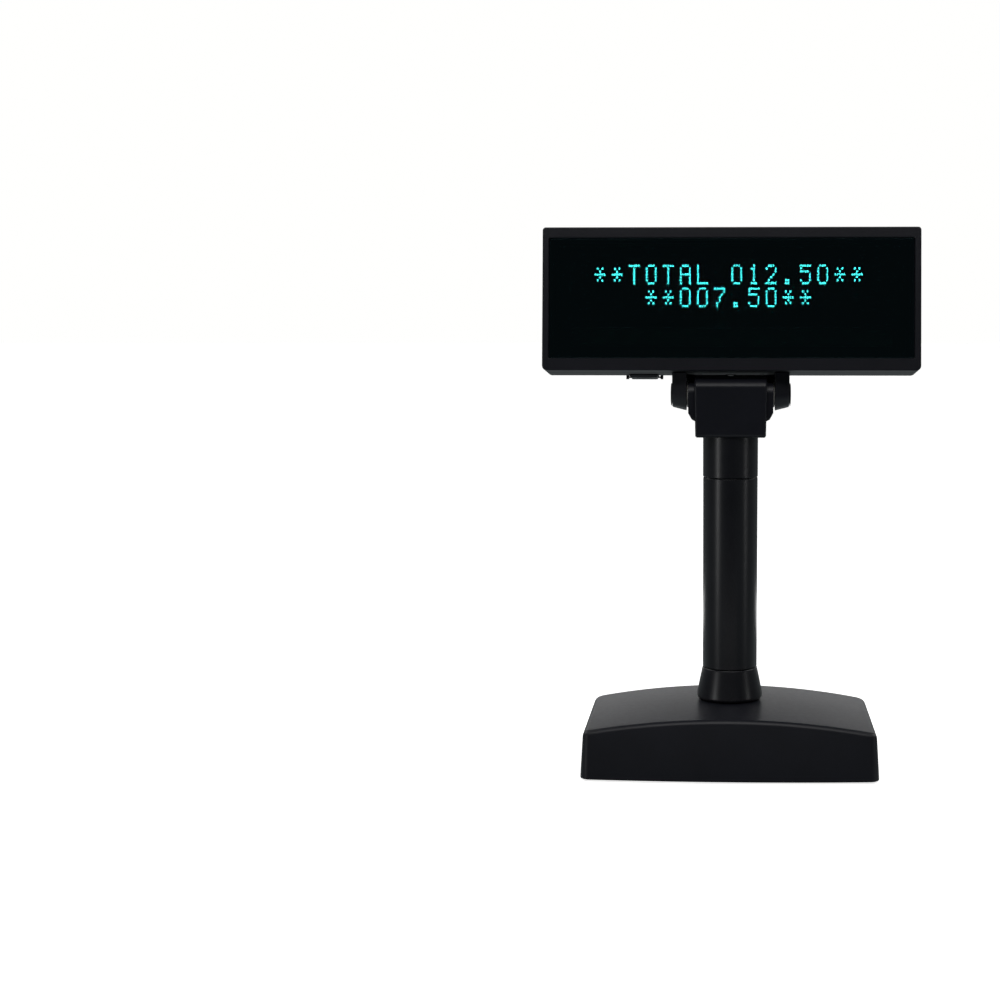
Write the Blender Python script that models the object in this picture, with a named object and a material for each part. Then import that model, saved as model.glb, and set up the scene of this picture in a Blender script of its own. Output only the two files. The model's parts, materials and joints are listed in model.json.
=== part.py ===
"""Customer pole display: a tilting, swivelling two-line display on a two-section pole and a weighted base.

The part stands on its four feet. Its origin is at the middle of the footprint; +Z is up, and the display
faces -Y.
Every length below is in millimetres; mesh vertices are written in metres.
"""

import math

import bmesh
import bpy
from mathutils import Vector

MM = 0.001
GAP = 0.3                     # running and assembly gap between touching pieces

# Base
BASE_WIDTH = 159.0            # along X at the floor
BASE_DEPTH = 91.6             # along Y at the floor, on the centre line
BASE_DRAFT = 1.4              # how far each wall leans in by the top edge
BASE_FLOOR = 1.0              # the cover's lower edge
CREST_Z = 33.9                # top of the arch
ARCH_SAG = 7.9                # how far the arch drops at the two ends
FRONT_BULGE = 3.0             # the front wall is this much further out at its middle
FRONT_CORNER = 5.0
REAR_CORNER = 7.0
EDGE_ROUND = 2.0              # rounding along the top edge
BASE_WALL = 2.5
PLATE_THICK = 2.5
FOOT_X, FOOT_Y, FOOT_R = 64.0, 33.0, 6.0
BASE_SCREW_X, BASE_SCREW_Y = 70.0, 20.0
POLE_Y = 10.8                 # the pole stands behind the middle of the base
SOCKET_X, SOCKET_HALF = 27.0, 8.0
SOCKET_LOW, SOCKET_HIGH = 6.8, 20.3
SOCKET_FACE = BASE_DEPTH / 2 - 0.8
JACK_X, JACK_Z, JACK_R = -27.0, 13.0, 4.2
BOARD_LOW, BOARD_HIGH = 4.9, 6.5

# Pole
POLE_R = 15.0
SPIGOT_R = 12.3
SPIGOT_BORE_R = 10.0
SOCKET_R = SPIGOT_R + GAP
COLLAR_TOP = 51.7
COLLAR_R = 18.2
COLLAR_BOTTOM = CREST_Z + GAP
COVER_HOLE_R = 14.6
SEAM_Z = 157.7                # where the upper tube meets the extension tube
SPIGOT_LENGTH = 34.0
LOCK_DROP = 9.0               # each lock screw is this far below its seam
LOCK_HEAD_OUT = POLE_R        # the upper lock screw's head sits flush in the rear of the tube
CABLE_R = 2.2
CABLE_TOP = 189.0             # the pole's cable ends here, on the swivel axis

# Neck block and swivel
NECK_BOTTOM = 180.2
HINGE_Z = 203.0
NECK_HALF_TOP, NECK_HALF_BOTTOM = 19.7, 19.1
NECK_HALF_DEPTH = 17.5
NECK_WALL = 2.4
CHEEK_HALF = 23.0
FLOOR_Z, FLOOR_THICK = 183.6, 3.0
NECK_SCREW_X, NECK_SCREW_Z = 13.6, 196.4
JOURNAL_R = 12.5
AXLE_R, AXLE_HEAD_R, NUT_R = 2.5, 4.0, 4.4
AXLE_SEAT, AXLE_END = 28.2, 31.2   # where the pockets for its head and nut start, and where it ends

# Head, in its own frame: origin on the tilt axis, Z along the display's height
TILT = math.radians(7.2)      # how far the display leans back at rest
HEAD_WIDTH = 204.0
HEAD_BOTTOM = 11.4
HEAD_HEIGHT = 77.5
HEAD_FRONT = -17.5
HEAD_REAR = 17.5
HEAD_SPLIT = -5.5             # where the bezel meets the rear cover
HEAD_WALL = 2.2
TOP_CORNER, BOTTOM_CORNER = 1.9, 3.2
WINDOW_SIDE, WINDOW_TOP, WINDOW_BOTTOM = 3.5, 5.65, 6.6
WINDOW_THICK = 2.0
WINDOW_RECESS = 0.4
TUBE_WIDTH, TUBE_HEIGHT = 188.0, 44.0
TUBE_CENTRE_Z = 57.3
TUBE_FRONT = HEAD_FRONT + 5.4
TUBE_GLASS, TUBE_RIM = 2.2, 2.4
COVER_POST_R = 2.6
COVER_SCREW_INSET = 5.9
VENT_COUNT, VENT_PITCH = 9, 9.0
BRACKET_SCREW_X = 17.0
EAR_IN, EAR_OUT = 24.2, 32.0
EAR_R, EAR_TIP_R = 8.8, 6.8     # half-round end of an ear, at its inner and its outer side
CAP_OUT, CAP_R = 32.9, 6.2

# Skirt under the head, close behind the neck: it hides the gap over the neck
SKIRT_FRONT, SKIRT_REAR = 10.6, 12.2
SKIRT_MIDDLE_Z, SKIRT_SIDE_Z = 9.6, 5.5
SKIRT_INNER, SKIRT_OUTER = 20.4, 23.6

# Switch hatch under the head
HATCH_X = -48.0
HATCH_HALF = 8.5
HATCH_FRONT, HATCH_AXIS_Y = 4.0, 15.6
HATCH_AXIS_Z = HEAD_BOTTOM - 0.55
HATCH_PROUD = 1.7
PIN_R = 0.5
SWITCH_PITCH = 2.54
SWITCH_COUNT = 4
SWITCH_TRAVEL = 1.5

HEAD_TOP = HEAD_BOTTOM + HEAD_HEIGHT
HEAD_MID_Z = (HEAD_BOTTOM + HEAD_TOP) / 2

MATERIALS = {
    "black_abs": ((0.018, 0.018, 0.020), 0.45, 0.0),
    "pole_plastic": ((0.016, 0.016, 0.017), 0.38, 0.0),
    "smoked_acrylic": ((0.010, 0.012, 0.014), 0.08, 0.0),
    "clear_glass": ((0.60, 0.68, 0.68), 0.05, 0.0),
    "anode_glass": ((0.045, 0.050, 0.052), 0.35, 0.0),
    "board_green": ((0.020, 0.110, 0.045), 0.55, 0.0),
    "component_black": ((0.030, 0.030, 0.032), 0.50, 0.0),
    "capacitor_sleeve": ((0.030, 0.045, 0.140), 0.35, 0.0),
    "steel_ballast": ((0.300, 0.300, 0.300), 0.50, 1.0),
    "screw_steel": ((0.250, 0.250, 0.255), 0.35, 1.0),
    "nylon": ((0.620, 0.600, 0.560), 0.55, 0.0),
    "rubber": ((0.020, 0.020, 0.020), 0.80, 0.0),
    "cable_jacket": ((0.022, 0.022, 0.024), 0.60, 0.0),
    "switch_red": ((0.450, 0.030, 0.025), 0.50, 0.0),
    "switch_white": ((0.750, 0.750, 0.730), 0.50, 0.0),
}


# ---------------------------------------------------------------- scene, materials and placing

def clear_scene():
    for item in list(bpy.data.objects):
        bpy.data.objects.remove(item)


def make_materials():
    made = {}
    for name, (colour, roughness, metallic) in MATERIALS.items():
        material = bpy.data.materials.new(name)
        material.use_nodes = True
        shader = material.node_tree.nodes["Principled BSDF"]
        shader.inputs["Base Color"].default_value = (*colour, 1.0)
        shader.inputs["Roughness"].default_value = roughness
        shader.inputs["Metallic"].default_value = metallic
        made[name] = material
    return made


def pivot(name, location, parent=None, tilt=0.0):
    """An empty on a joint's axis, or on the axis that a group of pieces is built around."""
    empty = bpy.data.objects.new(name, None)
    bpy.context.scene.collection.objects.link(empty)
    empty.location = Vector(location) * MM
    empty.rotation_euler.x = tilt
    empty.parent = parent
    return empty


def place(name, shape, material, parent=None):
    """Turns a shape into the named piece, smooth on its round faces, and puts it under its parent."""
    mesh = bpy.data.meshes.new(name)
    shape.to_mesh(mesh)
    shape.free()
    mesh.materials.append(material)
    mesh.shade_smooth()
    mesh.set_sharp_from_angle(angle=math.radians(35))
    item = bpy.data.objects.new(name, mesh)
    bpy.context.scene.collection.objects.link(item)
    item.parent = parent
    return item


# ---------------------------------------------------------------- shapes, each a closed bmesh

def prism(outline, low, high, axis="Z"):
    """A polygon, listed anticlockwise as seen from +axis, extruded from low to high along that axis."""
    shape = bmesh.new()
    ends = []
    for height in (low, high):
        ends.append([shape.verts.new(on_axis(a, b, height, axis)) for a, b in outline])
    count = len(outline)
    shape.faces.new(reversed(ends[0]))
    shape.faces.new(ends[1])
    for i in range(count):
        j = (i + 1) % count
        shape.faces.new((ends[0][i], ends[0][j], ends[1][j], ends[1][i]))
    return shape


def on_axis(a, b, height, axis):
    """The point at (a, b) across the axis and height along it; a, b follow the axis in the order X, Y, Z."""
    if axis == "X":
        return Vector((height, a, b)) * MM
    if axis == "Y":
        return Vector((b, height, a)) * MM
    return Vector((a, b, height)) * MM


def block(x0, x1, y0, y1, z0, z1):
    return prism([(x0, y0), (x1, y0), (x1, y1), (x0, y1)], z0, z1)


def turned(profile, segments=32, axis="Z", centre=(0.0, 0.0), ring=True):
    """A profile of (radius, height) points turned about an axis.

    A ring's profile is a closed loop that stays off the axis, outer side first, top to bottom.
    Otherwise the profile runs from the top end to the bottom end, and both ends are closed flat.
    """
    shape = bmesh.new()
    rows = []
    for i in range(segments):
        angle = 2 * math.pi * i / segments
        row = []
        for radius, height in profile:
            a = centre[0] + radius * math.cos(angle)
            b = centre[1] + radius * math.sin(angle)
            row.append(shape.verts.new(on_axis(a, b, height, axis)))
        rows.append(row)
    last = len(profile) if ring else len(profile) - 1
    for i in range(segments):
        here, there = rows[i], rows[(i + 1) % segments]
        for k in range(last):
            n = (k + 1) % len(profile)
            shape.faces.new((here[k], here[n], there[n], there[k]))
    if not ring:
        shape.faces.new([row[0] for row in rows])
        shape.faces.new([row[-1] for row in reversed(rows)])
    return shape


def rod(radius, low, high, segments=24, axis="Z", centre=(0.0, 0.0)):
    return turned([(radius, high), (radius, low)], segments, axis, centre, ring=False)


def washer(inner, outer, low, high, segments=24, axis="Z", centre=(0.0, 0.0)):
    profile = [(outer, high), (outer, low), (inner, low), (inner, high)]
    return turned(profile, segments, axis, centre)


def rounded_rectangle(x0, x1, y0, y1, low_r, high_r, steps=4):
    """An anticlockwise outline, with low_r on the two corners at y0 and high_r on those at y1."""
    corners = [
        (x1 - low_r, y0 + low_r, low_r, -90),
        (x1 - high_r, y1 - high_r, high_r, 0),
        (x0 + high_r, y1 - high_r, high_r, 90),
        (x0 + low_r, y0 + low_r, low_r, 180),
    ]
    points = []
    for x, y, radius, start in corners:
        for k in range(steps + 1):
            angle = math.radians(start + 90 * k / steps)
            points.append((x + radius * math.cos(angle), y + radius * math.sin(angle)))
    return points


def cable_tube(points, radius, sides=10, steps=6):
    """A round cable along a smooth curve through the points."""
    path = smooth_path([Vector(p) for p in points], steps)
    shape = bmesh.new()
    rings = []
    normal = Vector((1.0, 0.0, 0.0))
    for i, point in enumerate(path):
        ahead = path[min(i + 1, len(path) - 1)] - path[max(i - 1, 0)]
        tangent = ahead.normalized()
        normal = (normal - normal.dot(tangent) * tangent).normalized()
        side = tangent.cross(normal)
        ring = []
        for k in range(sides):
            angle = 2 * math.pi * k / sides
            offset = normal * math.cos(angle) + side * math.sin(angle)
            ring.append(shape.verts.new((point + offset * radius) * MM))
        rings.append(ring)
    for low, high in zip(rings, rings[1:]):
        for k in range(sides):
            n = (k + 1) % sides
            shape.faces.new((low[k], low[n], high[n], high[k]))
    shape.faces.new(reversed(rings[0]))
    shape.faces.new(rings[-1])
    return shape


def smooth_path(points, steps):
    """Catmull-Rom points through the given ones."""
    padded = [2 * points[0] - points[1], *points, 2 * points[-1] - points[-2]]
    path = []
    for a, b, c, d in zip(padded, padded[1:], padded[2:], padded[3:]):
        for k in range(steps):
            t = k / steps
            path.append(0.5 * (2 * b + (c - a) * t + (2 * a - 5 * b + 4 * c - d) * t ** 2
                               + (3 * b - a - 3 * c + d) * t ** 3))
    return [*path, points[-1]]


def combine(shape, others, operation):
    """Cuts the other shapes from this one, joins them to it, or keeps what they share."""
    holder = temporary(shape)
    tools = [temporary(other) for other in others]
    for tool in tools:
        modifier = holder.modifiers.new(operation, "BOOLEAN")
        modifier.operation = operation
        modifier.solver = "EXACT"
        modifier.object = tool
    graph = bpy.context.evaluated_depsgraph_get()
    result = bmesh.new()
    result.from_mesh(holder.evaluated_get(graph).data)
    for item in [holder, *tools]:
        mesh = item.data
        bpy.data.objects.remove(item)
        bpy.data.meshes.remove(mesh)
    bmesh.ops.remove_doubles(result, verts=result.verts, dist=1e-6)
    bmesh.ops.dissolve_limit(
        result, angle_limit=math.radians(0.2), verts=result.verts, edges=result.edges
    )
    return result


def temporary(shape):
    mesh = bpy.data.meshes.new("temporary")
    shape.to_mesh(mesh)
    shape.free()
    item = bpy.data.objects.new("temporary", mesh)
    item.hide_render = True
    item.display_type = "WIRE"
    bpy.context.scene.collection.objects.link(item)
    return item


def cut(shape, *others):
    return combine(shape, others, "DIFFERENCE")


def join(shape, *others):
    return combine(shape, others, "UNION")


def keep(shape, *others):
    return combine(shape, others, "INTERSECT")


def screw(head_r, shank_r, head_top, head_low, tip, axis="Z", centre=(0.0, 0.0)):
    """A pan-head screw with its head towards +axis."""
    dome = 0.35 * (head_top - head_low)
    profile = [
        (0.62 * head_r, head_top),
        (head_r, head_top - dome),
        (head_r, head_low),
        (shank_r, head_low),
        (shank_r, tip + shank_r),
        (0.3 * shank_r, tip),
    ]
    if head_top < tip:  # a head towards -axis turns the other way round
        profile.reverse()
    return turned(profile, 12, axis, centre, ring=False)


# ---------------------------------------------------------------- base

def arch(x):
    """Height of the cover's top surface at x."""
    return CREST_Z - ARCH_SAG * (x / (BASE_WIDTH / 2)) ** 2


def base_columns(half, corner):
    """X of each column across the base: close together round the corners, even between them."""
    bend = [half - corner * (1 - math.sin(math.radians(a))) for a in (90, 60, 30, 0)]
    count = 10
    flat = half - corner
    middle = [flat - 2 * flat * k / count for k in range(1, count)]
    return [*bend, *middle, *[-x for x in reversed(bend)]]


def base_ring(inset):
    """The base's outline, anticlockwise from above, moved inwards by inset."""
    half = BASE_WIDTH / 2 - inset
    front = -BASE_DEPTH / 2 + inset
    rear = BASE_DEPTH / 2 - inset
    front_corner = max(FRONT_CORNER - inset, 0.8)
    rear_corner = max(REAR_CORNER - inset, 1.2)

    def edge(x, corner):
        past = max(abs(x) - (half - corner), 0.0)
        return corner - math.sqrt(max(corner ** 2 - past ** 2, 0.0))

    ring = []
    for x in reversed(base_columns(half, front_corner)):
        bulge = FRONT_BULGE * (x / half) ** 2
        ring.append((x, front + bulge + edge(x, front_corner)))
    for x in base_columns(half, rear_corner):
        ring.append((x, rear - edge(x, rear_corner)))
    return ring


def arched_solid(layers):
    """Stacks rings of the base's outline; each layer is (inset, height of a point at x)."""
    shape = bmesh.new()
    rings = []
    for inset, height in layers:
        points = base_ring(inset)
        rings.append([shape.verts.new(Vector((x, y, height(x))) * MM) for x, y in points])
    count = len(rings[0])
    for low, high in zip(rings, rings[1:]):
        for i in range(count):
            j = (i + 1) % count
            shape.faces.new((low[i], low[j], high[j], high[i]))
    for ring, upward in ((rings[0], False), (rings[-1], True)):
        for i in range(count // 2 - 1):
            face = [ring[i], ring[i + 1], ring[count - 2 - i], ring[count - 1 - i]]
            shape.faces.new(face if upward else reversed(face))
    return shape


def base_cover_shape():
    outer = arched_solid([
        (0.0, lambda x: BASE_FLOOR),
        (BASE_DRAFT, lambda x: arch(x) - EDGE_ROUND),
        (BASE_DRAFT + 0.29 * EDGE_ROUND, lambda x: arch(x) - 0.29 * EDGE_ROUND),
        (BASE_DRAFT + EDGE_ROUND, arch),
    ])
    inner = arched_solid([
        (BASE_WALL, lambda x: BASE_FLOOR - 1),
        (BASE_DRAFT + BASE_WALL, lambda x: arch(x) - BASE_WALL - 0.8),
        (BASE_DRAFT + BASE_WALL + 0.8, lambda x: arch(x) - BASE_WALL),
    ])
    rear = BASE_DEPTH / 2
    socket_x = (SOCKET_X - SOCKET_HALF - GAP, SOCKET_X + SOCKET_HALF + GAP)
    return cut(
        outer,
        inner,
        rod(COVER_HOLE_R, 20, 50, centre=(0, POLE_Y)),
        block(*socket_x, rear - 6, rear + 2, SOCKET_LOW - GAP, SOCKET_HIGH + GAP),
        rod(JACK_R + GAP, rear - 6, rear + 2, 16, "Y", (JACK_Z, JACK_X)),
    )


def base_plate_shape():
    low, high = BASE_FLOOR, BASE_FLOOR + PLATE_THICK
    plate = prism(base_ring(BASE_WALL + GAP), low, high)
    holes = []
    for x in (-FOOT_X, FOOT_X):
        for y in (-FOOT_Y, FOOT_Y):
            holes.append(rod(FOOT_R + GAP, low - 1, low + 1.0, 20, centre=(x, y)))
    for x in (-BASE_SCREW_X, BASE_SCREW_X):
        for y in (-BASE_SCREW_Y, BASE_SCREW_Y):
            holes.append(rod(1.5 + GAP, low - 1, high + 1, 12, centre=(x, y)))
            holes.append(rod(2.6 + GAP, low - 1, low + 1.4, 12, centre=(x, y)))
    return cut(plate, *holes)


def ballast_shape():
    low = BASE_FLOOR + PLATE_THICK + GAP
    outline = rounded_rectangle(-58, 58, -40, 4, 4, 4, 2)
    notch = rod(9, low - 1, low + 10, 20, centre=(0, POLE_Y))
    return cut(prism(outline, low, low + 8), notch)


def foot_shape(x, y):
    profile = [(FOOT_R, 1.6), (FOOT_R, 0.5), (FOOT_R - 0.5, 0.0)]
    return turned(profile, 20, centre=(x, y), ring=False)


def base_boss_shape(x, y):
    """The screw boss under the cover, which holds a base screw's shank."""
    low = BASE_FLOOR + PLATE_THICK + GAP
    return rod(3.4, low, arch(x) - 1.0, 12, centre=(x, y))


def serial_socket_shape():
    """An eight-way modular socket: a square port with the key way under it, open to the rear."""
    face = SOCKET_FACE
    body = block(SOCKET_X - SOCKET_HALF, SOCKET_X + SOCKET_HALF, face - 15, face, SOCKET_LOW, SOCKET_HIGH)
    port = block(SOCKET_X - 5.9, SOCKET_X + 5.9, face - 12, face + 1, SOCKET_LOW + 3.8, SOCKET_HIGH - 2.0)
    key = block(SOCKET_X - 3.2, SOCKET_X + 3.2, face - 8, face + 1, SOCKET_LOW + 1.6, SOCKET_LOW + 4.5)
    return cut(body, port, key)


def power_jack_shape():
    """A coaxial power jack: a block with a round mouth, and the centre pin inside it."""
    face = BASE_DEPTH / 2 - 4.2
    barrel_end = BASE_DEPTH / 2 - 0.9
    body = block(JACK_X - 4.6, JACK_X + 4.6, face - 11, face, BOARD_HIGH + GAP, JACK_Z + 4.8)
    barrel = rod(JACK_R, face - 2, barrel_end, 20, "Y", (JACK_Z, JACK_X))
    mouth = washer(1.0, 3.2, face - 7, barrel_end + 3, 16, "Y", (JACK_Z, JACK_X))
    tip = rod(1.5, barrel_end - 1, barrel_end + 3, 12, "Y", (JACK_Z, JACK_X))
    return cut(join(body, barrel), mouth, tip)


def build_base(paint):
    cover = base_cover_shape()
    bosses = []
    pilots = []
    for x in (-BASE_SCREW_X, BASE_SCREW_X):
        for y in (-BASE_SCREW_Y, BASE_SCREW_Y):
            bosses.append(base_boss_shape(x, y))
            pilots.append(rod(1.2 + GAP, 0, 14, 10, centre=(x, y)))
    cover = cut(join(cover, *bosses), *pilots)
    place("base_cover", cover, paint["black_abs"])
    place("base_plate", base_plate_shape(), paint["black_abs"])
    place("ballast_plate", ballast_shape(), paint["steel_ballast"])
    for depth, y in (("front", -FOOT_Y), ("rear", FOOT_Y)):
        for side, x in (("left", -FOOT_X), ("right", FOOT_X)):
            place(f"foot_{depth}_{side}", foot_shape(x, y), paint["rubber"])
    number = 0
    for x in (-BASE_SCREW_X, BASE_SCREW_X):
        for y in (-BASE_SCREW_Y, BASE_SCREW_Y):
            number += 1
            fixing = screw(2.6, 1.2, 1.1, 2.1, 12, centre=(x, y))
            place(f"base_screw_{number}", fixing, paint["screw_steel"])
    board = block(-38, 38, 22, 42.0, BOARD_LOW, BOARD_HIGH)
    place("interface_board", board, paint["board_green"])
    place("serial_socket", serial_socket_shape(), paint["component_black"])
    place("power_jack", power_jack_shape(), paint["component_black"])


# ---------------------------------------------------------------- pole

def collar_shape():
    """The flared skirt on the base, with the sleeve that passes down through the cover and holds the pole."""
    return turned([
        (POLE_R + 0.2, COLLAR_TOP),
        (COLLAR_R, COLLAR_BOTTOM + 1.8),
        (COLLAR_R, COLLAR_BOTTOM + 1.0),
        (COLLAR_R - 1.0, COLLAR_BOTTOM),
        (COVER_HOLE_R - 0.4, COLLAR_BOTTOM),
        (COVER_HOLE_R - 0.4, 20.5),
        (SOCKET_R, 20.5),
        (SOCKET_R, COLLAR_TOP),
    ], 40)


def extension_tube_shape():
    foot = COLLAR_TOP + GAP
    return turned([
        (POLE_R, SEAM_Z - GAP / 2),
        (POLE_R, foot),
        (SPIGOT_R, foot),
        (SPIGOT_R, foot - 30),
        (SPIGOT_BORE_R, foot - 30),
        (SPIGOT_BORE_R, SEAM_Z - SPIGOT_LENGTH - 2),
        (SOCKET_R, SEAM_Z - SPIGOT_LENGTH - 2),
        (SOCKET_R, SEAM_Z - GAP / 2),
    ], 40)


def upper_tube_shape():
    """The top pole section: a spigot below, the visible tube, and the journal that the neck swivels on."""
    seat = SEAM_Z + GAP / 2
    shoulder = FLOOR_Z - 1.6
    groove = FLOOR_Z + FLOOR_THICK + 0.7
    return turned([
        (JOURNAL_R, groove + 4.2),
        (JOURNAL_R, groove + 1.7),
        (JOURNAL_R - 1.2, groove + 1.7),
        (JOURNAL_R - 1.2, groove),
        (JOURNAL_R, groove),
        (JOURNAL_R, shoulder),
        (POLE_R + 0.1, shoulder),
        (POLE_R + 0.1, seat),
        (SPIGOT_R, seat),
        (SPIGOT_R, seat - SPIGOT_LENGTH),
        (SPIGOT_BORE_R, seat - SPIGOT_LENGTH),
        (SPIGOT_BORE_R, groove + 4.2),
    ], 40)


def lock_pocket(z):
    """The stepped hole for a lock screw, through the rear wall of two sliding sections at height z."""
    head = rod(2.2 + GAP, POLE_R - 1.4, POLE_R + 3, 12, "Y", (z, 0))
    shank = rod(1.2 + GAP, SPIGOT_BORE_R - 2, POLE_R + 3, 10, "Y", (z, 0))
    return head, shank


def lock_screw_shape(z):
    return screw(2.2, 1.2, LOCK_HEAD_OUT, POLE_R - 1.0, SPIGOT_BORE_R + 0.6, "Y", (z, 0))


def build_pole(paint):
    axis = pivot("pole_axis", (0, POLE_Y, 0))
    low_lock = COLLAR_TOP - LOCK_DROP
    high_lock = SEAM_Z - LOCK_DROP
    collar = cut(collar_shape(), rod(2.4 + GAP, 11, 25, 12, "Y", (low_lock, 0)))
    place("pole_collar", collar, paint["pole_plastic"], axis)
    lock_ring = washer(COVER_HOLE_R, 19, CREST_Z - BASE_WALL - 7.5, CREST_Z - BASE_WALL - 0.9, 32)
    place("collar_lock_ring", lock_ring, paint["nylon"], axis)
    lower_hole = rod(1.2 + GAP, 8, 14, 10, "Y", (low_lock, 0))
    tube = cut(extension_tube_shape(), lower_hole, *lock_pocket(high_lock))
    place("extension_tube", tube, paint["pole_plastic"], axis)
    upper_hole = rod(1.2 + GAP, 8, 14, 10, "Y", (high_lock, 0))
    place("upper_tube", cut(upper_tube_shape(), upper_hole), paint["pole_plastic"], axis)
    lower_screw = screw(2.4, 1.2, 16.0, 14.6, SPIGOT_BORE_R + 0.6, "Y", (low_lock, 0))
    place("extension_lock_screw", lower_screw, paint["screw_steel"], axis)
    place("upper_lock_screw", lock_screw_shape(high_lock), paint["screw_steel"], axis)
    seat = washer(JOURNAL_R + GAP, POLE_R - 0.4, FLOOR_Z - 1.3, FLOOR_Z - GAP, 32)
    place("swivel_washer", seat, paint["nylon"], axis)
    groove = FLOOR_Z + FLOOR_THICK + 0.7
    clip = washer(JOURNAL_R - 0.9, POLE_R - 0.5, groove + 0.3, groove + 1.4, 32)
    place("swivel_retaining_ring", clip, paint["screw_steel"], axis)
    route = [
        (10, 21, 10.5),
        (6, 12, 11.5),
        (1.5, 3, 14.5),
        (0, 0, 22),
        (0, 0, 60),
        (0, 0, 120),
        (0, 0, CABLE_TOP),
    ]
    place("pole_cable", cable_tube(route, CABLE_R, steps=4), paint["cable_jacket"], axis)


# ---------------------------------------------------------------- neck

def neck_profile():
    """The neck block from the side, as (y, z) from the pole axis and the hinge, front low corner first."""
    bottom = NECK_BOTTOM - HINGE_Z
    front, rear = -NECK_HALF_DEPTH, NECK_HALF_DEPTH
    return [
        (front + 2.6, bottom),
        (rear - 2.6, bottom),
        (rear - 0.5, bottom + 2.2),
        (rear, -4.0),
        (14.2, 0.8),
        (10.0, 5.2),
        (5.0, 8.4),
        (0.0, 9.8),
        (-8.0, 9.6),
        (-14.5, 8.2),
        (front, 5.8),
        (front + 0.5, bottom + 2.2),
    ]


def neck_outer():
    """The tapered block with the two thick cheeks that carry the axle."""
    points = [(y, z + HINGE_Z) for y, z in neck_profile()]
    side = prism(points, -30, 30, "X")
    top, low = NECK_HALF_TOP, NECK_HALF_BOTTOM
    front_view = [
        (-low + 1.8, NECK_BOTTOM - 0.01),
        (low - 1.8, NECK_BOTTOM - 0.01),
        (low, NECK_BOTTOM + 1.8),
        (top, HINGE_Z + 12),
        (-top, HINGE_Z + 12),
        (-low, NECK_BOTTOM + 1.8),
    ]
    outline = [(z, x) for x, z in reversed(front_view)]
    return join(keep(side, prism(outline, -25, 25, "Y")), *cheeks())


def cheeks():
    """One on each side: a plate that slopes in towards its lower end."""
    made = []
    for side in (-1, 1):
        section = [
            (side * (NECK_HALF_TOP - 3), HINGE_Z - 15.5),
            (side * (CHEEK_HALF - 1.9), HINGE_Z - 13.0),
            (side * CHEEK_HALF, HINGE_Z - 9.5),
            (side * CHEEK_HALF, HINGE_Z + 6.4),
            (side * (NECK_HALF_TOP - 3), HINGE_Z + 6.4),
        ]
        if side < 0:
            section.reverse()
        outline = [(z, x) for x, z in reversed(section)]
        plate = prism(outline, -14.5, 8.0, "Y")
        corner = rounded_rectangle(-14.5, 8.0, HINGE_Z - 15.5, HINGE_Z + 6.4, 4.0, 5.5, 3)
        made.append(keep(plate, prism(corner, -30, 30, "X")))
    return made


def neck_cavity():
    """The room inside the neck above its swivel floor, lower towards the rear as the top is."""
    front, rear = -NECK_HALF_DEPTH + NECK_WALL, NECK_HALF_DEPTH - NECK_WALL
    low = FLOOR_Z + FLOOR_THICK
    points = [
        (front, low),
        (rear, low),
        (rear, HINGE_Z - 5.5),
        (11.6, HINGE_Z - 0.8),
        (8.0, HINGE_Z + 3.2),
        (0.0, HINGE_Z + 7.2),
        (-13.0, HINGE_Z + 6.2),
        (front, HINGE_Z + 4.6),
    ]
    return prism(points, -NECK_HALF_BOTTOM + NECK_WALL, NECK_HALF_BOTTOM - NECK_WALL, "X")


def neck_shells():
    """The hollow neck, split across the pole axis into a front and a rear half."""
    body = cut(
        neck_outer(),
        neck_cavity(),
        rod(POLE_R + 0.5, NECK_BOTTOM - 5, FLOOR_Z, 32),
        rod(JOURNAL_R + GAP, FLOOR_Z - 1, FLOOR_Z + FLOOR_THICK + 1, 32),
        block(-4, 4, 2.5, 9.0, HINGE_Z, HINGE_Z + 14),
    )
    posts = []
    for x in (-NECK_SCREW_X, NECK_SCREW_X):
        post = rod(3.0, -NECK_HALF_DEPTH + 1, NECK_HALF_DEPTH - 1, 14, "Y", (NECK_SCREW_Z, x))
        posts.append(post)
    body = join(body, *posts)
    axle_hole = rod(AXLE_R + GAP, -30, 30, 20, "X", (0, HINGE_Z))
    drills = [axle_hole]
    for x in (-NECK_SCREW_X, NECK_SCREW_X):
        drills.append(rod(1.2 + GAP, -8, 30, 10, "Y", (NECK_SCREW_Z, x)))
        drills.append(rod(2.3 + GAP, NECK_HALF_DEPTH - 2.4, 30, 12, "Y", (NECK_SCREW_Z, x)))
    body = cut(body, *drills)
    whole = temporary(body)
    halves = []
    for low, high in ((-40, -GAP / 2), (GAP / 2, 40)):
        copy = bmesh.new()
        copy.from_mesh(whole.data)
        halves.append(keep(copy, block(-40, 40, low, high, 150, 250)))
    mesh = whole.data
    bpy.data.objects.remove(whole)
    bpy.data.meshes.remove(mesh)
    return halves


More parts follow.
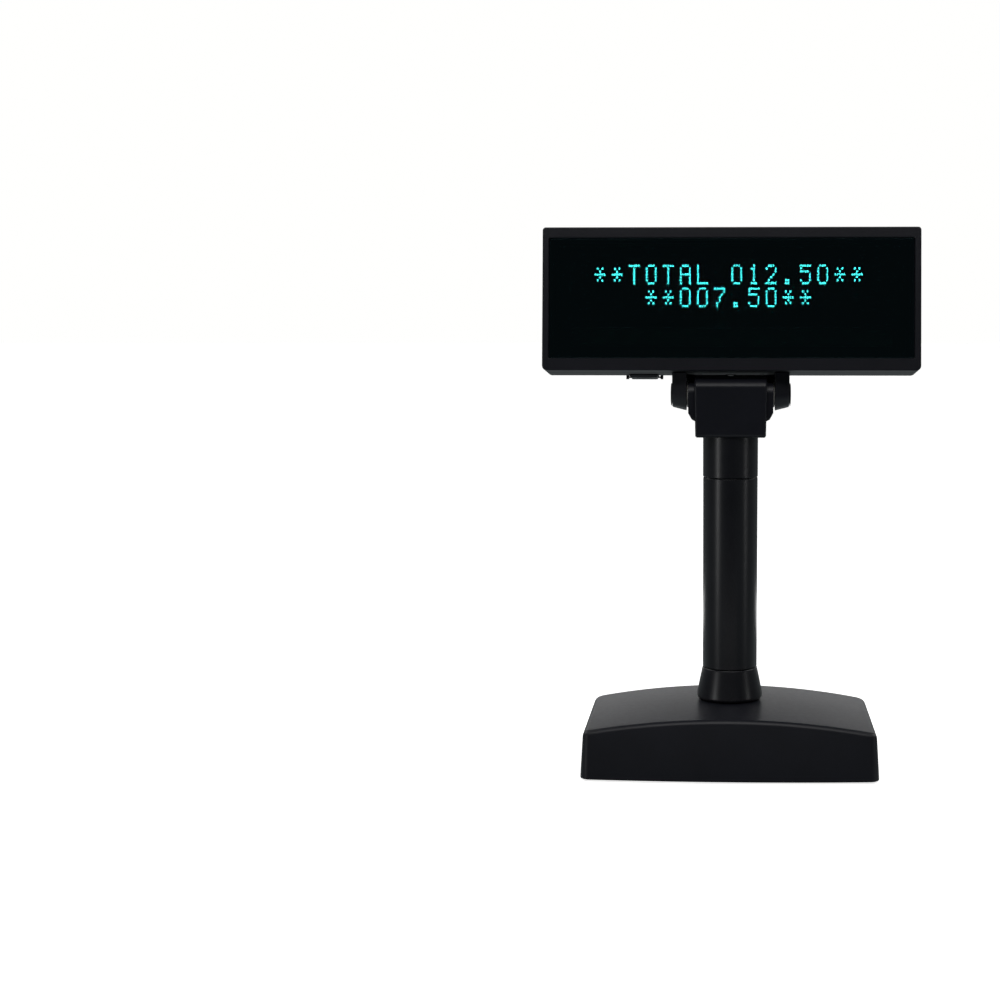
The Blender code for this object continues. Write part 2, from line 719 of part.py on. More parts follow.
def build_neck(paint):
    axis = pivot("swivel_pivot", (0, POLE_Y, 0))
    front, rear = neck_shells()
    place("neck_front_shell", front, paint["black_abs"], axis)
    place("neck_rear_shell", rear, paint["black_abs"], axis)
    for number, x in enumerate((-NECK_SCREW_X, NECK_SCREW_X), 1):
        head_low = NECK_HALF_DEPTH - 2.1
        fixing = screw(2.3, 1.2, NECK_HALF_DEPTH - 0.6, head_low, -6, "Y", (NECK_SCREW_Z, x))
        place(f"neck_screw_{number}", fixing, paint["screw_steel"], axis)
    axle = turned([
        (AXLE_R, AXLE_END),
        (AXLE_R, -AXLE_SEAT - GAP),
        (AXLE_HEAD_R, -AXLE_SEAT - GAP),
        (AXLE_HEAD_R, -AXLE_END + 0.6),
        (AXLE_HEAD_R - 1.0, -AXLE_END),
    ], 20, "X", (0, HINGE_Z), ring=False)
    place("tilt_axle", axle, paint["screw_steel"], axis)
    hexagon = rod(NUT_R, AXLE_SEAT + GAP, AXLE_END - 0.3, 6, "X", (0, HINGE_Z))
    nut = cut(hexagon, rod(AXLE_R + GAP, 20, 35, 20, "X", (0, HINGE_Z)))
    place("axle_nut", nut, paint["screw_steel"], axis)
    route = [(0, 0, CABLE_TOP + GAP), (0, 0.6, 193), (0, 3.4, 198), (0, 5.8, 202.5), (0, 6.4, 207.4)]
    place("neck_cable", cable_tube(route, CABLE_R - 0.4, steps=4), paint["cable_jacket"], axis)


# ---------------------------------------------------------------- head

def head_outline(inset=0.0):
    """The head from the front, as (z, x) pairs for a prism along Y."""
    points = rounded_rectangle(
        -HEAD_WIDTH / 2 + inset,
        HEAD_WIDTH / 2 - inset,
        HEAD_BOTTOM + inset,
        HEAD_TOP - inset,
        max(BOTTOM_CORNER - inset, 0.8),
        max(TOP_CORNER - inset, 0.8),
    )
    return [(z, x) for x, z in reversed(points)]


def rectangle_zx(x0, x1, z0, z1):
    return [(z0, x0), (z1, x0), (z1, x1), (z0, x1)]


def window_limits(inset=0.0):
    half = HEAD_WIDTH / 2 - WINDOW_SIDE - inset
    return -half, half, HEAD_BOTTOM + WINDOW_BOTTOM + inset, HEAD_TOP - WINDOW_TOP - inset


def bezel_shape():
    """The front frame: a rim round the window, a ledge behind it, and side walls back to the split."""
    front_edge = 0.5
    shell = stacked_prism([
        (head_outline(front_edge), HEAD_FRONT),
        (head_outline(0.0), HEAD_FRONT + front_edge),
        (head_outline(0.0), HEAD_SPLIT - GAP / 2),
    ])
    window_rear = HEAD_FRONT + WINDOW_RECESS + WINDOW_THICK
    seat = prism(rectangle_zx(*window_limits()), HEAD_FRONT - 2, window_rear + GAP, "Y")
    opening = prism(rectangle_zx(*window_limits(2.6)), HEAD_FRONT - 2, HEAD_FRONT + 8, "Y")
    room = prism(head_outline(HEAD_WALL), HEAD_FRONT + 4.7, 20, "Y")
    frame = cut(shell, seat, opening, room)
    posts = []
    pilots = []
    for x, z in cover_screw_places():
        posts.append(rod(COVER_POST_R, HEAD_FRONT + 3.5, HEAD_SPLIT - GAP / 2, 12, "Y", (z, x)))
        pilots.append(rod(1.2 + GAP, HEAD_FRONT + 5.5, 0, 10, "Y", (z, x)))
    return cut(join(frame, *posts), *pilots)


def cover_screw_places():
    """Where the four screws pass from the rear cover into the bezel, as (x, z)."""
    x = HEAD_WIDTH / 2 - COVER_SCREW_INSET
    low, high = HEAD_BOTTOM + COVER_SCREW_INSET, HEAD_TOP - COVER_SCREW_INSET
    return [(-x, low), (-x, high), (x, low), (x, high)]


def stacked_prism(layers, axis="Y"):
    """Joins outlines of equal length, each at its own place along the axis, into one solid."""
    shape = bmesh.new()
    rings = []
    for outline, place_on_axis in layers:
        rings.append([shape.verts.new(on_axis(a, b, place_on_axis, axis)) for a, b in outline])
    count = len(rings[0])
    for low, high in zip(rings, rings[1:]):
        for i in range(count):
            j = (i + 1) % count
            shape.faces.new((low[i], low[j], high[j], high[i]))
    shape.faces.new(reversed(rings[0]))
    shape.faces.new(rings[-1])
    return shape


def rear_cover_shape():
    """The tray behind the bezel, with a sloped edge round its back, vents, and slots for the hinge ears."""
    slope = 5.0
    shell = stacked_prism([
        (head_outline(0.0), HEAD_SPLIT + GAP / 2),
        (head_outline(0.0), HEAD_REAR - slope),
        (head_outline(2.0), HEAD_REAR - 1.2),
        (head_outline(3.4), HEAD_REAR),
    ])
    room = stacked_prism([
        (head_outline(HEAD_WALL), HEAD_SPLIT - 2),
        (head_outline(HEAD_WALL), HEAD_REAR - slope),
        (head_outline(HEAD_WALL + 2.2), HEAD_REAR - HEAD_WALL),
    ])
    floor = HEAD_BOTTOM
    holes = []
    for side in (-1, 1):
        inner, outer = sorted((side * (EAR_IN - GAP), side * (EAR_OUT + GAP)))
        holes.append(block(inner, outer, -4.2, EAR_R + GAP, floor - 2, floor + 5))
    for k in range(VENT_COUNT):
        x = (k - (VENT_COUNT - 1) / 2) * VENT_PITCH
        holes.append(block(x - 1.1, x + 1.1, HEAD_REAR - 5, HEAD_REAR + 2, HEAD_TOP - 26, HEAD_TOP - 12))
    holes.append(rod(3.2, floor - 2, floor + 5, 16, centre=(0, 6.6)))
    holes.append(block(HATCH_X - 7.2, HATCH_X + 7.2, 5.2, 13.4, floor - 2, floor + 5))
    shell = cut(shell, room, *holes)
    posts = []
    drills = []
    for x, z in cover_screw_places():
        posts.append(rod(COVER_POST_R, HEAD_SPLIT + GAP / 2, HEAD_REAR - 0.6, 12, "Y", (z, x)))
        drills.append(rod(1.2 + GAP, HEAD_SPLIT - 2, HEAD_REAR + 2, 10, "Y", (z, x)))
        drills.append(rod(2.0 + GAP, HEAD_REAR - 3.0, HEAD_REAR + 2, 12, "Y", (z, x)))
    lugs = [hatch_lug(-1), hatch_lug(1)]
    for x in (-BRACKET_SCREW_X, BRACKET_SCREW_X):
        drills.append(rod(1.2 + GAP, floor - 2, floor + 6, 10, centre=(x, 3.0)))
    return cut(join(shell, skirt(), *posts, *lugs), *drills, hatch_pin_hole())


def skirt():
    """A shallow rib across the neck, with a longer tab beside each cheek."""
    top = HEAD_BOTTOM + 1.1
    outline = [
        (SKIRT_SIDE_Z, -SKIRT_OUTER),
        (top, -SKIRT_OUTER),
        (top, SKIRT_OUTER),
        (SKIRT_SIDE_Z, SKIRT_OUTER),
        (SKIRT_SIDE_Z, SKIRT_INNER),
        (SKIRT_MIDDLE_Z, SKIRT_INNER),
        (SKIRT_MIDDLE_Z, -SKIRT_INNER),
        (SKIRT_SIDE_Z, -SKIRT_INNER),
    ]
    return prism(outline, SKIRT_FRONT, SKIRT_REAR, "Y")


def hatch_lug(side):
    """A small lug under the head that holds one end of the hatch pin."""
    near = HATCH_X + side * (HATCH_HALF + GAP)
    far = near + side * 1.5
    low, high = sorted((near, far))
    z = HEAD_BOTTOM - HATCH_PROUD
    return block(low, high, HATCH_AXIS_Y - 1.4, HATCH_AXIS_Y + 1.4, z, HEAD_BOTTOM + 2.6)


def hatch_pin_hole():
    reach = HATCH_HALF + 3.0
    return rod(PIN_R + GAP, HATCH_X - reach, HATCH_X + reach, 10, "X", (HATCH_AXIS_Y, HATCH_AXIS_Z))


def bracket_shape():
    """The hinge bracket: a plate inside the head, on its floor, with an ear down each side of the neck."""
    low = HEAD_BOTTOM + HEAD_WALL + GAP
    plate = block(-EAR_OUT, EAR_OUT, -4.0, EAR_R, low, low + 2.2)
    ears = []
    for side in (-1, 1):
        ears.append(ear_shape(side, low + 1))
    shape = join(plate, *ears)
    drills = [
        rod(AXLE_R + GAP, -40, 40, 20, "X"),
        rod(AXLE_HEAD_R + GAP, -40, -AXLE_SEAT, 16, "X"),
        rod(NUT_R + GAP, AXLE_SEAT, 40, 16, "X"),
        rod(3.2, low - 2, low + 5, 16, centre=(0, 6.6)),
    ]
    for x in (-BRACKET_SCREW_X, BRACKET_SCREW_X):
        drills.append(rod(1.2 + GAP, low - 2, low + 5, 10, centre=(x, 3.0)))
    return cut(shape, *drills)


def ear_shape(side, top):
    """An ear: thicker at its inner side, so that its round end slopes in towards the hinge cap."""
    layers = [(ear_outline(EAR_R, top), side * EAR_IN), (ear_outline(EAR_TIP_R, top), side * EAR_OUT)]
    if side < 0:
        layers.reverse()
    return stacked_prism(layers, "X")


def ear_outline(radius, top):
    """An ear from the side, as (y, z): a half round about the axle, running up into the head."""
    points = []
    for k in range(13):
        angle = math.radians(180 + 15 * k)
        points.append((radius * math.cos(angle), radius * math.sin(angle)))
    points += [(radius, top), (-4.0, top), (-4.0, HEAD_BOTTOM - 0.4), (-radius, HEAD_BOTTOM - 0.4)]
    return points


def hinge_cap_shape(side):
    """The domed cover over the end of the axle."""
    profile = [
        (CAP_R * 0.5, CAP_OUT),
        (CAP_R * 0.9, CAP_OUT - 0.25),
        (CAP_R, CAP_OUT - 0.5),
        (CAP_R, EAR_OUT + GAP),
    ]
    if side < 0:
        profile = [(radius, -x) for radius, x in reversed(profile)]
    return turned(profile, 24, "X", (0, 0), ring=False)


def window_shape():
    x0, x1, z0, z1 = window_limits(GAP)
    y0 = HEAD_FRONT + WINDOW_RECESS
    return prism(rectangle_zx(x0, x1, z0, z1), y0, y0 + WINDOW_THICK, "Y")


def tube_limits(inset=0.0):
    half = TUBE_WIDTH / 2 - inset
    rise = TUBE_HEIGHT / 2 - inset
    return -half, half, TUBE_CENTRE_Z - rise, TUBE_CENTRE_Z + rise


def tube_spacer_shape():
    """The sealed rim between the two glasses, open at its pumping tip."""
    low = TUBE_FRONT + TUBE_GLASS + GAP
    high = low + TUBE_RIM
    rim = prism(rectangle_zx(*tube_limits()), low, high, "Y")
    inside = prism(rectangle_zx(*tube_limits(4.0)), low - 1, high + 1, "Y")
    tip = rod(0.9, 80, 110, 10, "X", ((low + high) / 2, TUBE_CENTRE_Z))
    return cut(rim, inside, tip)


def build_display(paint, head):
    front = TUBE_FRONT
    glass = prism(rectangle_zx(*tube_limits()), front, front + TUBE_GLASS, "Y")
    place("vfd_front_glass", glass, paint["clear_glass"], head)
    place("vfd_spacer", tube_spacer_shape(), paint["clear_glass"], head)
    back = front + TUBE_GLASS + TUBE_RIM + 2 * GAP
    anodes = prism(rectangle_zx(*tube_limits()), back, back + TUBE_GLASS, "Y")
    place("vfd_anode_plate", anodes, paint["anode_glass"], head)
    board_y = back + TUBE_GLASS + 1.2
    board = prism(rectangle_zx(-88, 88, HEAD_BOTTOM + 14.5, HEAD_TOP - 5), board_y, board_y + 1.6, "Y")
    place("driver_board", board, paint["board_green"], head)
    rear = board_y + 1.6 + GAP
    chip = prism(rectangle_zx(-38, -24, 46, 60), rear, rear + 1.5, "Y")
    place("microcontroller", chip, paint["component_black"], head)
    can = rod(4.0, rear, rear + 10.5, 16, "Y", (66, 40))
    place("filter_capacitor", can, paint["capacitor_sleeve"], head)
    header = prism(rectangle_zx(-9, 9, 36, 42), rear, rear + 6, "Y")
    place("cable_header", header, paint["switch_white"], head)
    route = [(0, 6.4, 11.0), (0, 6.8, 15), (0, 8.5, 22), (0, 8.6, 28), (0, 6.4, 35.6 - CABLE_R)]
    place("head_cable", cable_tube(route, CABLE_R - 0.4, steps=4), paint["cable_jacket"], head)


def build_head(paint):
    swivel = bpy.data.objects["swivel_pivot"]
    head = pivot("tilt_pivot", (0, 0, HINGE_Z), swivel, -TILT)
    place("front_bezel", bezel_shape(), paint["black_abs"], head)
    place("rear_cover", rear_cover_shape(), paint["black_abs"], head)
    place("display_window", window_shape(), paint["smoked_acrylic"], head)
    place("tilt_bracket", bracket_shape(), paint["black_abs"], head)
    for side, name in ((-1, "left"), (1, "right")):
        near, far = sorted((side * (CHEEK_HALF + GAP), side * (EAR_IN - GAP)))
        ring = washer(AXLE_R + GAP, 7.0, near, far, 20, "X")
        place(f"friction_washer_{name}", ring, paint["nylon"], head)
        place(f"hinge_cap_{name}", hinge_cap_shape(side), paint["black_abs"], head)
    top = HEAD_BOTTOM + HEAD_WALL + GAP + 2.2
    for number, x in enumerate((-BRACKET_SCREW_X, BRACKET_SCREW_X), 1):
        fixing = screw(2.3, 1.2, top + 1.9, top + GAP, HEAD_BOTTOM - 0.2, centre=(x, 3.0))
        place(f"bracket_screw_{number}", fixing, paint["screw_steel"], head)
    for number, (x, z) in enumerate(cover_screw_places(), 1):
        fixing = screw(2.0, 1.2, HEAD_REAR - 1.2, HEAD_REAR - 2.7, HEAD_FRONT + 6.5, "Y", (z, x))
        place(f"cover_screw_{number}", fixing, paint["screw_steel"], head)
    build_display(paint, head)
    build_switches(paint, head)


def build_switches(paint, head):
    """The bank of slide switches over the opening, and the hinged hatch that closes it."""
    low = HEAD_BOTTOM + HEAD_WALL + 1.2
    width = SWITCH_PITCH * SWITCH_COUNT + 1.6
    half = SWITCH_TRAVEL / 2 + 0.6 + GAP
    middle = 9.3
    case = block(HATCH_X - width / 2, HATCH_X + width / 2, middle - 3.1, middle + 3.1, low, low + 3.8)
    slots = []
    for k in range(SWITCH_COUNT):
        x = HATCH_X + (k - (SWITCH_COUNT - 1) / 2) * SWITCH_PITCH
        slots.append(block(x - 0.5 - GAP, x + 0.5 + GAP, middle - half, middle + half, low - 1, low + 1.5))
        slider = block(-0.5, 0.5, -0.6, 0.6, -0.9, 1.2)
        piece = place(f"switch_slider_{k + 1}", slider, paint["switch_white"], head)
        piece.location = Vector((x, middle - SWITCH_TRAVEL / 2, low)) * MM
    place("switch_bank", cut(case, *slots), paint["switch_red"], head)
    reach = HATCH_HALF + 1.7
    pin = rod(PIN_R, HATCH_X - reach, HATCH_X + reach, 10, "X", (HATCH_AXIS_Y, HATCH_AXIS_Z))
    place("hatch_pin", pin, paint["screw_steel"], head)
    hinge = pivot("hatch_pivot", (0, HATCH_AXIS_Y, HATCH_AXIS_Z), head)
    place("switch_hatch", hatch_shape(), paint["black_abs"], hinge)


def hatch_shape():
    """The hatch about its own pin: a thin lid with sloped ends and a lip, and a barrel round the pin."""
    top = HEAD_BOTTOM - GAP - HATCH_AXIS_Z
    low = HEAD_BOTTOM - HATCH_PROUD - HATCH_AXIS_Z
    front = HATCH_FRONT - HATCH_AXIS_Y
    x0, x1 = HATCH_X - HATCH_HALF, HATCH_X + HATCH_HALF
    outline = [
        (front, top),
        (front + 0.9, low),
        (1.15, low),
        (1.15, -0.1),
        (0.7, top),
    ]
    lid = prism(outline, x0, x1, "X")
    hole = rod(PIN_R + 0.2, x0 - 1, x1 + 1, 10, "X")
    return cut(lid, hole)


def build():
    clear_scene()
    paint = make_materials()
    build_base(paint)
    build_pole(paint)
    build_neck(paint)
    build_head(paint)
    bpy.context.view_layer.update()


build()
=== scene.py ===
"""Looks of the customer pole display: finer shells, screws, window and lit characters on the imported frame.

Lengths are in millimetres and are turned into metres when a mesh is made. Shapes of the head are worked out
in the head's own frame (origin on the tilt axis, Z along the display's height), and those of the pole and the
neck about the pole.
"""

import json
import math

import bmesh
import bpy
from mathutils import Matrix, Vector


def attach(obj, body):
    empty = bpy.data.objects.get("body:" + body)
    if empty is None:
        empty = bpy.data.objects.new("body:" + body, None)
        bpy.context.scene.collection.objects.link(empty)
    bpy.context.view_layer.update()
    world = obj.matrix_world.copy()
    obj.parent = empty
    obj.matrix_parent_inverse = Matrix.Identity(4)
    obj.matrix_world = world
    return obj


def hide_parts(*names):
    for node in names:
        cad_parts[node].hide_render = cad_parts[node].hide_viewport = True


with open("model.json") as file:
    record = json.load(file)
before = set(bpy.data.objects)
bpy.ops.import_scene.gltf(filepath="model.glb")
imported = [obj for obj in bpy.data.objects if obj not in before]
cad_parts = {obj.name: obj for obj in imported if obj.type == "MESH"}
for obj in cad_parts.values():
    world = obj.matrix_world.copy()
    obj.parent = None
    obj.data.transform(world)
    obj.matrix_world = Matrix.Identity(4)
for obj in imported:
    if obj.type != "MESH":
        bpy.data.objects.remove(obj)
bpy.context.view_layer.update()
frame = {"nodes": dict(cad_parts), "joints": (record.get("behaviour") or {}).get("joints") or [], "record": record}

MM = 0.001   # metres in a millimetre
GAP = 0.3    # clearance between a piece and its neighbour
JOINTS = {joint["name"]: joint for joint in frame["joints"]}
HINGE = Vector(JOINTS["head_tilt"]["pos_m"])
TILT = math.radians(-JOINTS["head_tilt"]["range_deg"][0])   # the tilt's lower limit is upright
WORLD = Matrix.Identity(4)
POLE = Matrix.Translation((0.0, HINGE.y, 0.0))
HEAD = Matrix.Translation(HINGE) @ Matrix.Rotation(-TILT, 4, "X")


def local_box(node, place):
    """Lowest and highest corner of a CAD node in a frame of its own, in millimetres."""
    inverse = place.inverted()
    points = [inverse @ v.co for v in frame["nodes"][node].data.vertices]
    low = Vector([min(p[i] for p in points) for i in range(3)])
    high = Vector([max(p[i] for p in points) for i in range(3)])
    return low / MM, high / MM


def box_middle(node, place):
    """X, Y and Z of the middle of that box."""
    return [(low + high) / 2 for low, high in zip(*local_box(node, place))]


# ---- sizes

# Base
BASE_LOW, BASE_HIGH = local_box("base_cover", WORLD)
BASE_HALF = BASE_HIGH.x
BASE_WALL = 2.5
BASE_DRAFT = 1.4
ARCH_SAG = 7.9
FRONT_BULGE = 3.0
FRONT_CORNER, REAR_CORNER = 5.0, 7.0
EDGE_ROUND = 2.9
FOOT_EDGE = 0.6
COLLAR_HOLE_R = 14.6
JACK_R, JACK_FLARE_R, JACK_Z = 4.5, 6.4, 13.0
CONTACT_COUNT, CONTACT_PITCH = 8, 1.02

# Pole
COLLAR_LOW, COLLAR_HIGH = local_box("pole_collar", POLE)
COLLAR_FOOT = BASE_HIGH.z + GAP
COLLAR_SLEEVE_R, LIP_ROUND = 14.2, 0.6
TUBE_LOW, TUBE_HIGH = local_box("extension_tube", POLE)
UPPER_LOW, UPPER_HIGH = local_box("upper_tube", POLE)
POLE_R = TUBE_HIGH.x
SPIGOT_R, SPIGOT_BORE_R = 12.3, 10.0
TUBE_EDGE = 0.35
LOCK_DROP = 9.0
SCREW_HOLE_R = 1.5

# Neck
HINGE_Z = HINGE.z / MM
NECK_LOW, _ = local_box("neck_front_shell", POLE)
NECK_HALF_TOP, NECK_HALF_BOTTOM = 19.7, 19.1
NECK_HALF_DEPTH = -NECK_LOW.y
CHEEK_HALF = -NECK_LOW.x
NECK_WALL = 2.4
CHEEK_FRONT, CHEEK_REAR = -14.5, 8.0
CHEEK_FOOT, CHEEK_TOP = HINGE_Z - 15.5, HINGE_Z + 6.4
NECK_FLOOR_Z, NECK_FLOOR_THICK = 183.6, 3.0
JOURNAL_R, AXLE_R = 12.5, 2.5

# Head
HEAD_LOW, HEAD_HIGH = local_box("front_bezel", HEAD)
HEAD_REAR = local_box("rear_cover", HEAD)[1].y
HEAD_WALL = 2.2
BEZEL_ROUND = 0.7
TOP_CORNER, BOTTOM_CORNER = 1.7, 2.7
REAR_SLOPE = 5.0
WINDOW_LOW, WINDOW_HIGH = local_box("display_window", HEAD)
EAR_IN, EAR_OUT = 24.2, 32.0
EAR_R, EAR_TIP_R, EAR_ROUND = 8.8, 6.8, 0.8
EAR_FRONT = -4.0
SKIRT_FRONT, SKIRT_REAR = 10.6, 12.2
SKIRT_MIDDLE_Z, SKIRT_SIDE_Z = 9.6, 5.5
SKIRT_INNER, SKIRT_OUTER = 19.95, 25.6
VENT_COUNT, VENT_PITCH, VENT_HALF_WIDTH = 9, 9.0, 1.1
VENT_LOW, VENT_HIGH = HEAD_HIGH.z - 26, HEAD_HIGH.z - 12
LABEL_HALF_WIDTH, LABEL_HALF_HEIGHT = 31, 10
LABEL_MIDDLE_Z = (HEAD_LOW.z + HEAD_HIGH.z) / 2 - 13
COVER_POST_R = 2.6
CABLE_HOLE_R, CABLE_HOLE_Y = 3.2, 6.6
SWITCH_HALF, SWITCH_FRONT, SWITCH_REAR = 7.2, 5.2, 13.4
BRACKET_SCREW_X, BRACKET_SCREW_Y = 17.0, 3.0

# Camera: metres in front of the hinge and above the floor, then degrees, then millimetres, and the shift as a
# share of the picture's width
CAMERA_DISTANCE, CAMERA_HEIGHT = 0.888, 0.241
CAMERA_DOWN, CAMERA_TURN = 6.19, 2.0
LENS, SENSOR, CAMERA_SHIFT = 58.2, 36.0, -0.1742

# Light that the object sees from the room, and from the pale floor behind it, beside it and below it
ROOM, ROOM_BEHIND, ROOM_BESIDE = 0.013, 0.10, 0.03
FLOOR_BEHIND, FLOOR_BESIDE, FLOOR_BELOW = 0.025, 0.30, 0.36

# Characters: five by seven dots each
COLUMNS = 20
CHARACTER_PITCH = 9.32
LINE_PITCH = 12.5
DOT_PITCH_X, DOT_PITCH_Z = 1.23, 1.59
DOT_WIDTH, DOT_HEIGHT = 0.92, 1.16
TEXT_X, TEXT_Z = -1.6, 58.4
FIRST_LINE, SECOND_LINE = "**TOTAL 012.50**", "**007.50**"
GLYPHS = {
    "*": (".....", ".#.#.", "..#..", "#####", "..#..", ".#.#.", "....."),
    ".": (".....", ".....", ".....", ".....", ".....", ".##..", ".##.."),
    "0": (".###.", "#...#", "#...#", "#...#", "#...#", "#...#", ".###."),
    "1": ("..#..", ".##..", "..#..", "..#..", "..#..", "..#..", ".###."),
    "2": (".###.", "#...#", "....#", "...#.", "..#..", ".#...", "#####"),
    "5": ("#####", "#....", "####.", "....#", "....#", "#...#", ".###."),
    "7": ("#####", "....#", "...#.", "..#..", "..#..", ".#...", ".#..."),
    "A": (".###.", "#...#", "#...#", "#####", "#...#", "#...#", "#...#"),
    "L": ("#....", "#....", "#....", "#....", "#....", "#....", "#####"),
    "O": (".###.", "#...#", "#...#", "#...#", "#...#", "#...#", ".###."),
    "T": ("#####", "..#..", "..#..", "..#..", "..#..", "..#..", "..#.."),
    " ": (".....",) * 7,
}


# ---- shapes, each a closed bmesh

def on_axis(a, b, height, axis):
    """The point at (a, b) across the axis and height along it; a, b follow the axis in the order X, Y, Z."""
    if axis == "X":
        return Vector((height, a, b)) * MM
    if axis == "Y":
        return Vector((b, height, a)) * MM
    return Vector((a, b, height)) * MM


def add_bands(shape, rings):
    """Joins each ring of points to the next with a band of faces."""
    count = len(rings[0])
    for low, high in zip(rings, rings[1:]):
        for i in range(count):
            j = (i + 1) % count
            shape.faces.new((low[i], low[j], high[j], high[i]))


def stack(layers, axis="Z"):
    """Joins outlines of equal length, each (outline, place on the axis), into one closed solid."""
    shape = bmesh.new()
    rings = []
    for outline, height in layers:
        rings.append([shape.verts.new(on_axis(a, b, height, axis)) for a, b in outline])
    add_bands(shape, rings)
    shape.faces.new(reversed(rings[0]))
    shape.faces.new(rings[-1])
    return shape


def quarter(steps, first=0):
    """Angles in even steps from 0, or from the first step, to a right angle."""
    return [math.pi / 2 * k / steps for k in range(first, steps + 1)]


def prism(outline, low, high, axis="Z"):
    return stack([(outline, low), (outline, high)], axis)


def rectangle(a0, a1, b0, b1):
    return [(a0, b0), (a1, b0), (a1, b1), (a0, b1)]


def face_outline(low, high, grow=0.0):
    """A box seen from the front, as (z, x) pairs, made larger on every side."""
    return rectangle(low.z - grow, high.z + grow, low.x - grow, high.x + grow)


def block(x0, x1, y0, y1, z0, z1):
    return prism(rectangle(x0, x1, y0, y1), z0, z1)


def spaced(count, pitch, middle=0.0):
    """Even places about a middle."""
    return [middle + (k - (count - 1) / 2) * pitch for k in range(count)]


def turned(profile, segments=96, axis="Z", centre=(0.0, 0.0), ring=True):
    """Turns (radius, height) points about an axis: a closed ring, or a line whose ends are closed flat."""
    shape = bmesh.new()
    rows = []
    for i in range(segments):
        angle = 2 * math.pi * i / segments
        row = []
        for radius, height in profile:
            a = centre[0] + radius * math.cos(angle)
            b = centre[1] + radius * math.sin(angle)
            row.append(shape.verts.new(on_axis(a, b, height, axis)))
        rows.append(row)
    last = len(profile) if ring else len(profile) - 1
    for i in range(segments):
        here, there = rows[i], rows[(i + 1) % segments]
        for k in range(last):
            n = (k + 1) % len(profile)
            shape.faces.new((here[k], here[n], there[n], there[k]))
    if not ring:
        shape.faces.new([row[0] for row in rows])
        shape.faces.new([row[-1] for row in reversed(rows)])
    return shape


def rod(radius, low, high, segments=40, axis="Z", centre=(0.0, 0.0)):
    return turned([(radius, high), (radius, low)], segments, axis, centre, ring=False)


def rounded_rectangle(x0, x1, y0, y1, low_r, high_r, steps=10):
    """An anticlockwise outline, with low_r on the two corners at y0 and high_r on those at y1."""
    corners = [
        (x1 - low_r, y0 + low_r, low_r, -90),
        (x1 - high_r, y1 - high_r, high_r, 0),
        (x0 + high_r, y1 - high_r, high_r, 90),
        (x0 + low_r, y0 + low_r, low_r, 180),
    ]
    points = []
    for x, y, radius, start in corners:
        for k in range(steps + 1):
            angle = math.radians(start + 90 * k / steps)
            points.append((x + radius * math.cos(angle), y + radius * math.sin(angle)))
    return points


def filleted(points, radius, steps=5, closed=True):
    """The outline with an arc-like bend of about that radius in place of each corner."""
    count = len(points)
    made = []
    for i, corner in enumerate(points):
        if not closed and i in (0, count - 1):
            made.append(corner)
            continue
        here = Vector(corner)
        before = Vector(points[i - 1]) - here
        after = Vector(points[(i + 1) % count]) - here
        reach = min(radius, 0.45 * before.length, 0.45 * after.length)
        start = here + before.normalized() * reach
        end = here + after.normalized() * reach
        for k in range(steps + 1):
            t = k / steps
            bend = start * (1 - t) ** 2 + here * 2 * t * (1 - t) + end * t ** 2
            made.append((bend.x, bend.y))
    return made


def soften(shape, width, segments=3, angle=25.0):
    """Rounds every edge of a shape that turns by more than the angle."""
    limit = math.radians(angle)
    edges = [e for e in shape.edges if len(e.link_faces) == 2 and e.calc_face_angle() > limit]
    bmesh.ops.bevel(
        shape, geom=edges, offset=width * MM, segments=segments,
        profile=0.5, affect="EDGES", clamp_overlap=True,
    )
    return shape


def temporary(shape):
    mesh = bpy.data.meshes.new("temporary")
    shape.to_mesh(mesh)
    shape.free()
    item = bpy.data.objects.new("temporary", mesh)
    bpy.context.scene.collection.objects.link(item)
    return item


def discard(item):
    mesh = item.data
    bpy.data.objects.remove(item)
    bpy.data.meshes.remove(mesh)


def combine(shape, others, operation):
    """Cuts the other shapes from this one, joins them to it, or keeps what they share."""
    holder = temporary(shape)
    tools = [temporary(other) for other in others]
    for tool in tools:
        modifier = holder.modifiers.new(operation, "BOOLEAN")
        modifier.operation = operation
        modifier.solver = "EXACT"
        modifier.object = tool
    graph = bpy.context.evaluated_depsgraph_get()
    result = bmesh.new()
    result.from_mesh(holder.evaluated_get(graph).data)
    for item in [holder, *tools]:
        discard(item)
    bmesh.ops.remove_doubles(result, verts=result.verts, dist=1e-6)
    return result


def cut(shape, *others):
    return combine(shape, others, "DIFFERENCE")


def join(shape, *others):
    return combine(shape, others, "UNION")


def keep(shape, *others):
    return combine(shape, others, "INTERSECT")


def flatten(shape):
    """Merges faces that lie in one plane, so that edges can be rounded cleanly."""
    bmesh.ops.dissolve_limit(shape, angle_limit=math.radians(0.3), verts=shape.verts, edges=shape.edges)
    return shape


def piece(name, shape, paint, place, body, slot, replaced=(), look=None):
    """Makes the named piece from a shape, and says what it rides on and what it stands for."""
    mesh = bpy.data.meshes.new(name)
    shape.to_mesh(mesh)
    shape.free()
    mesh.transform(place)
    mesh.materials.append(paint[look or slot])
    mesh.shade_smooth()
    mesh.set_sharp_from_angle(angle=math.radians(32.0))
    item = bpy.data.objects.new(name, mesh)
    bpy.context.scene.collection.objects.link(item)
    even = item.modifiers.new("even_shading", "WEIGHTED_NORMAL")
    even.keep_sharp = True
    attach(item, body)
    if replaced:
        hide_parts(*replaced)


# ---- materials

def new_material(name):
    material = bpy.data.materials.new(name)
    material.use_nodes = True
    tree = material.node_tree
    return material, tree, tree.nodes["Principled BSDF"]


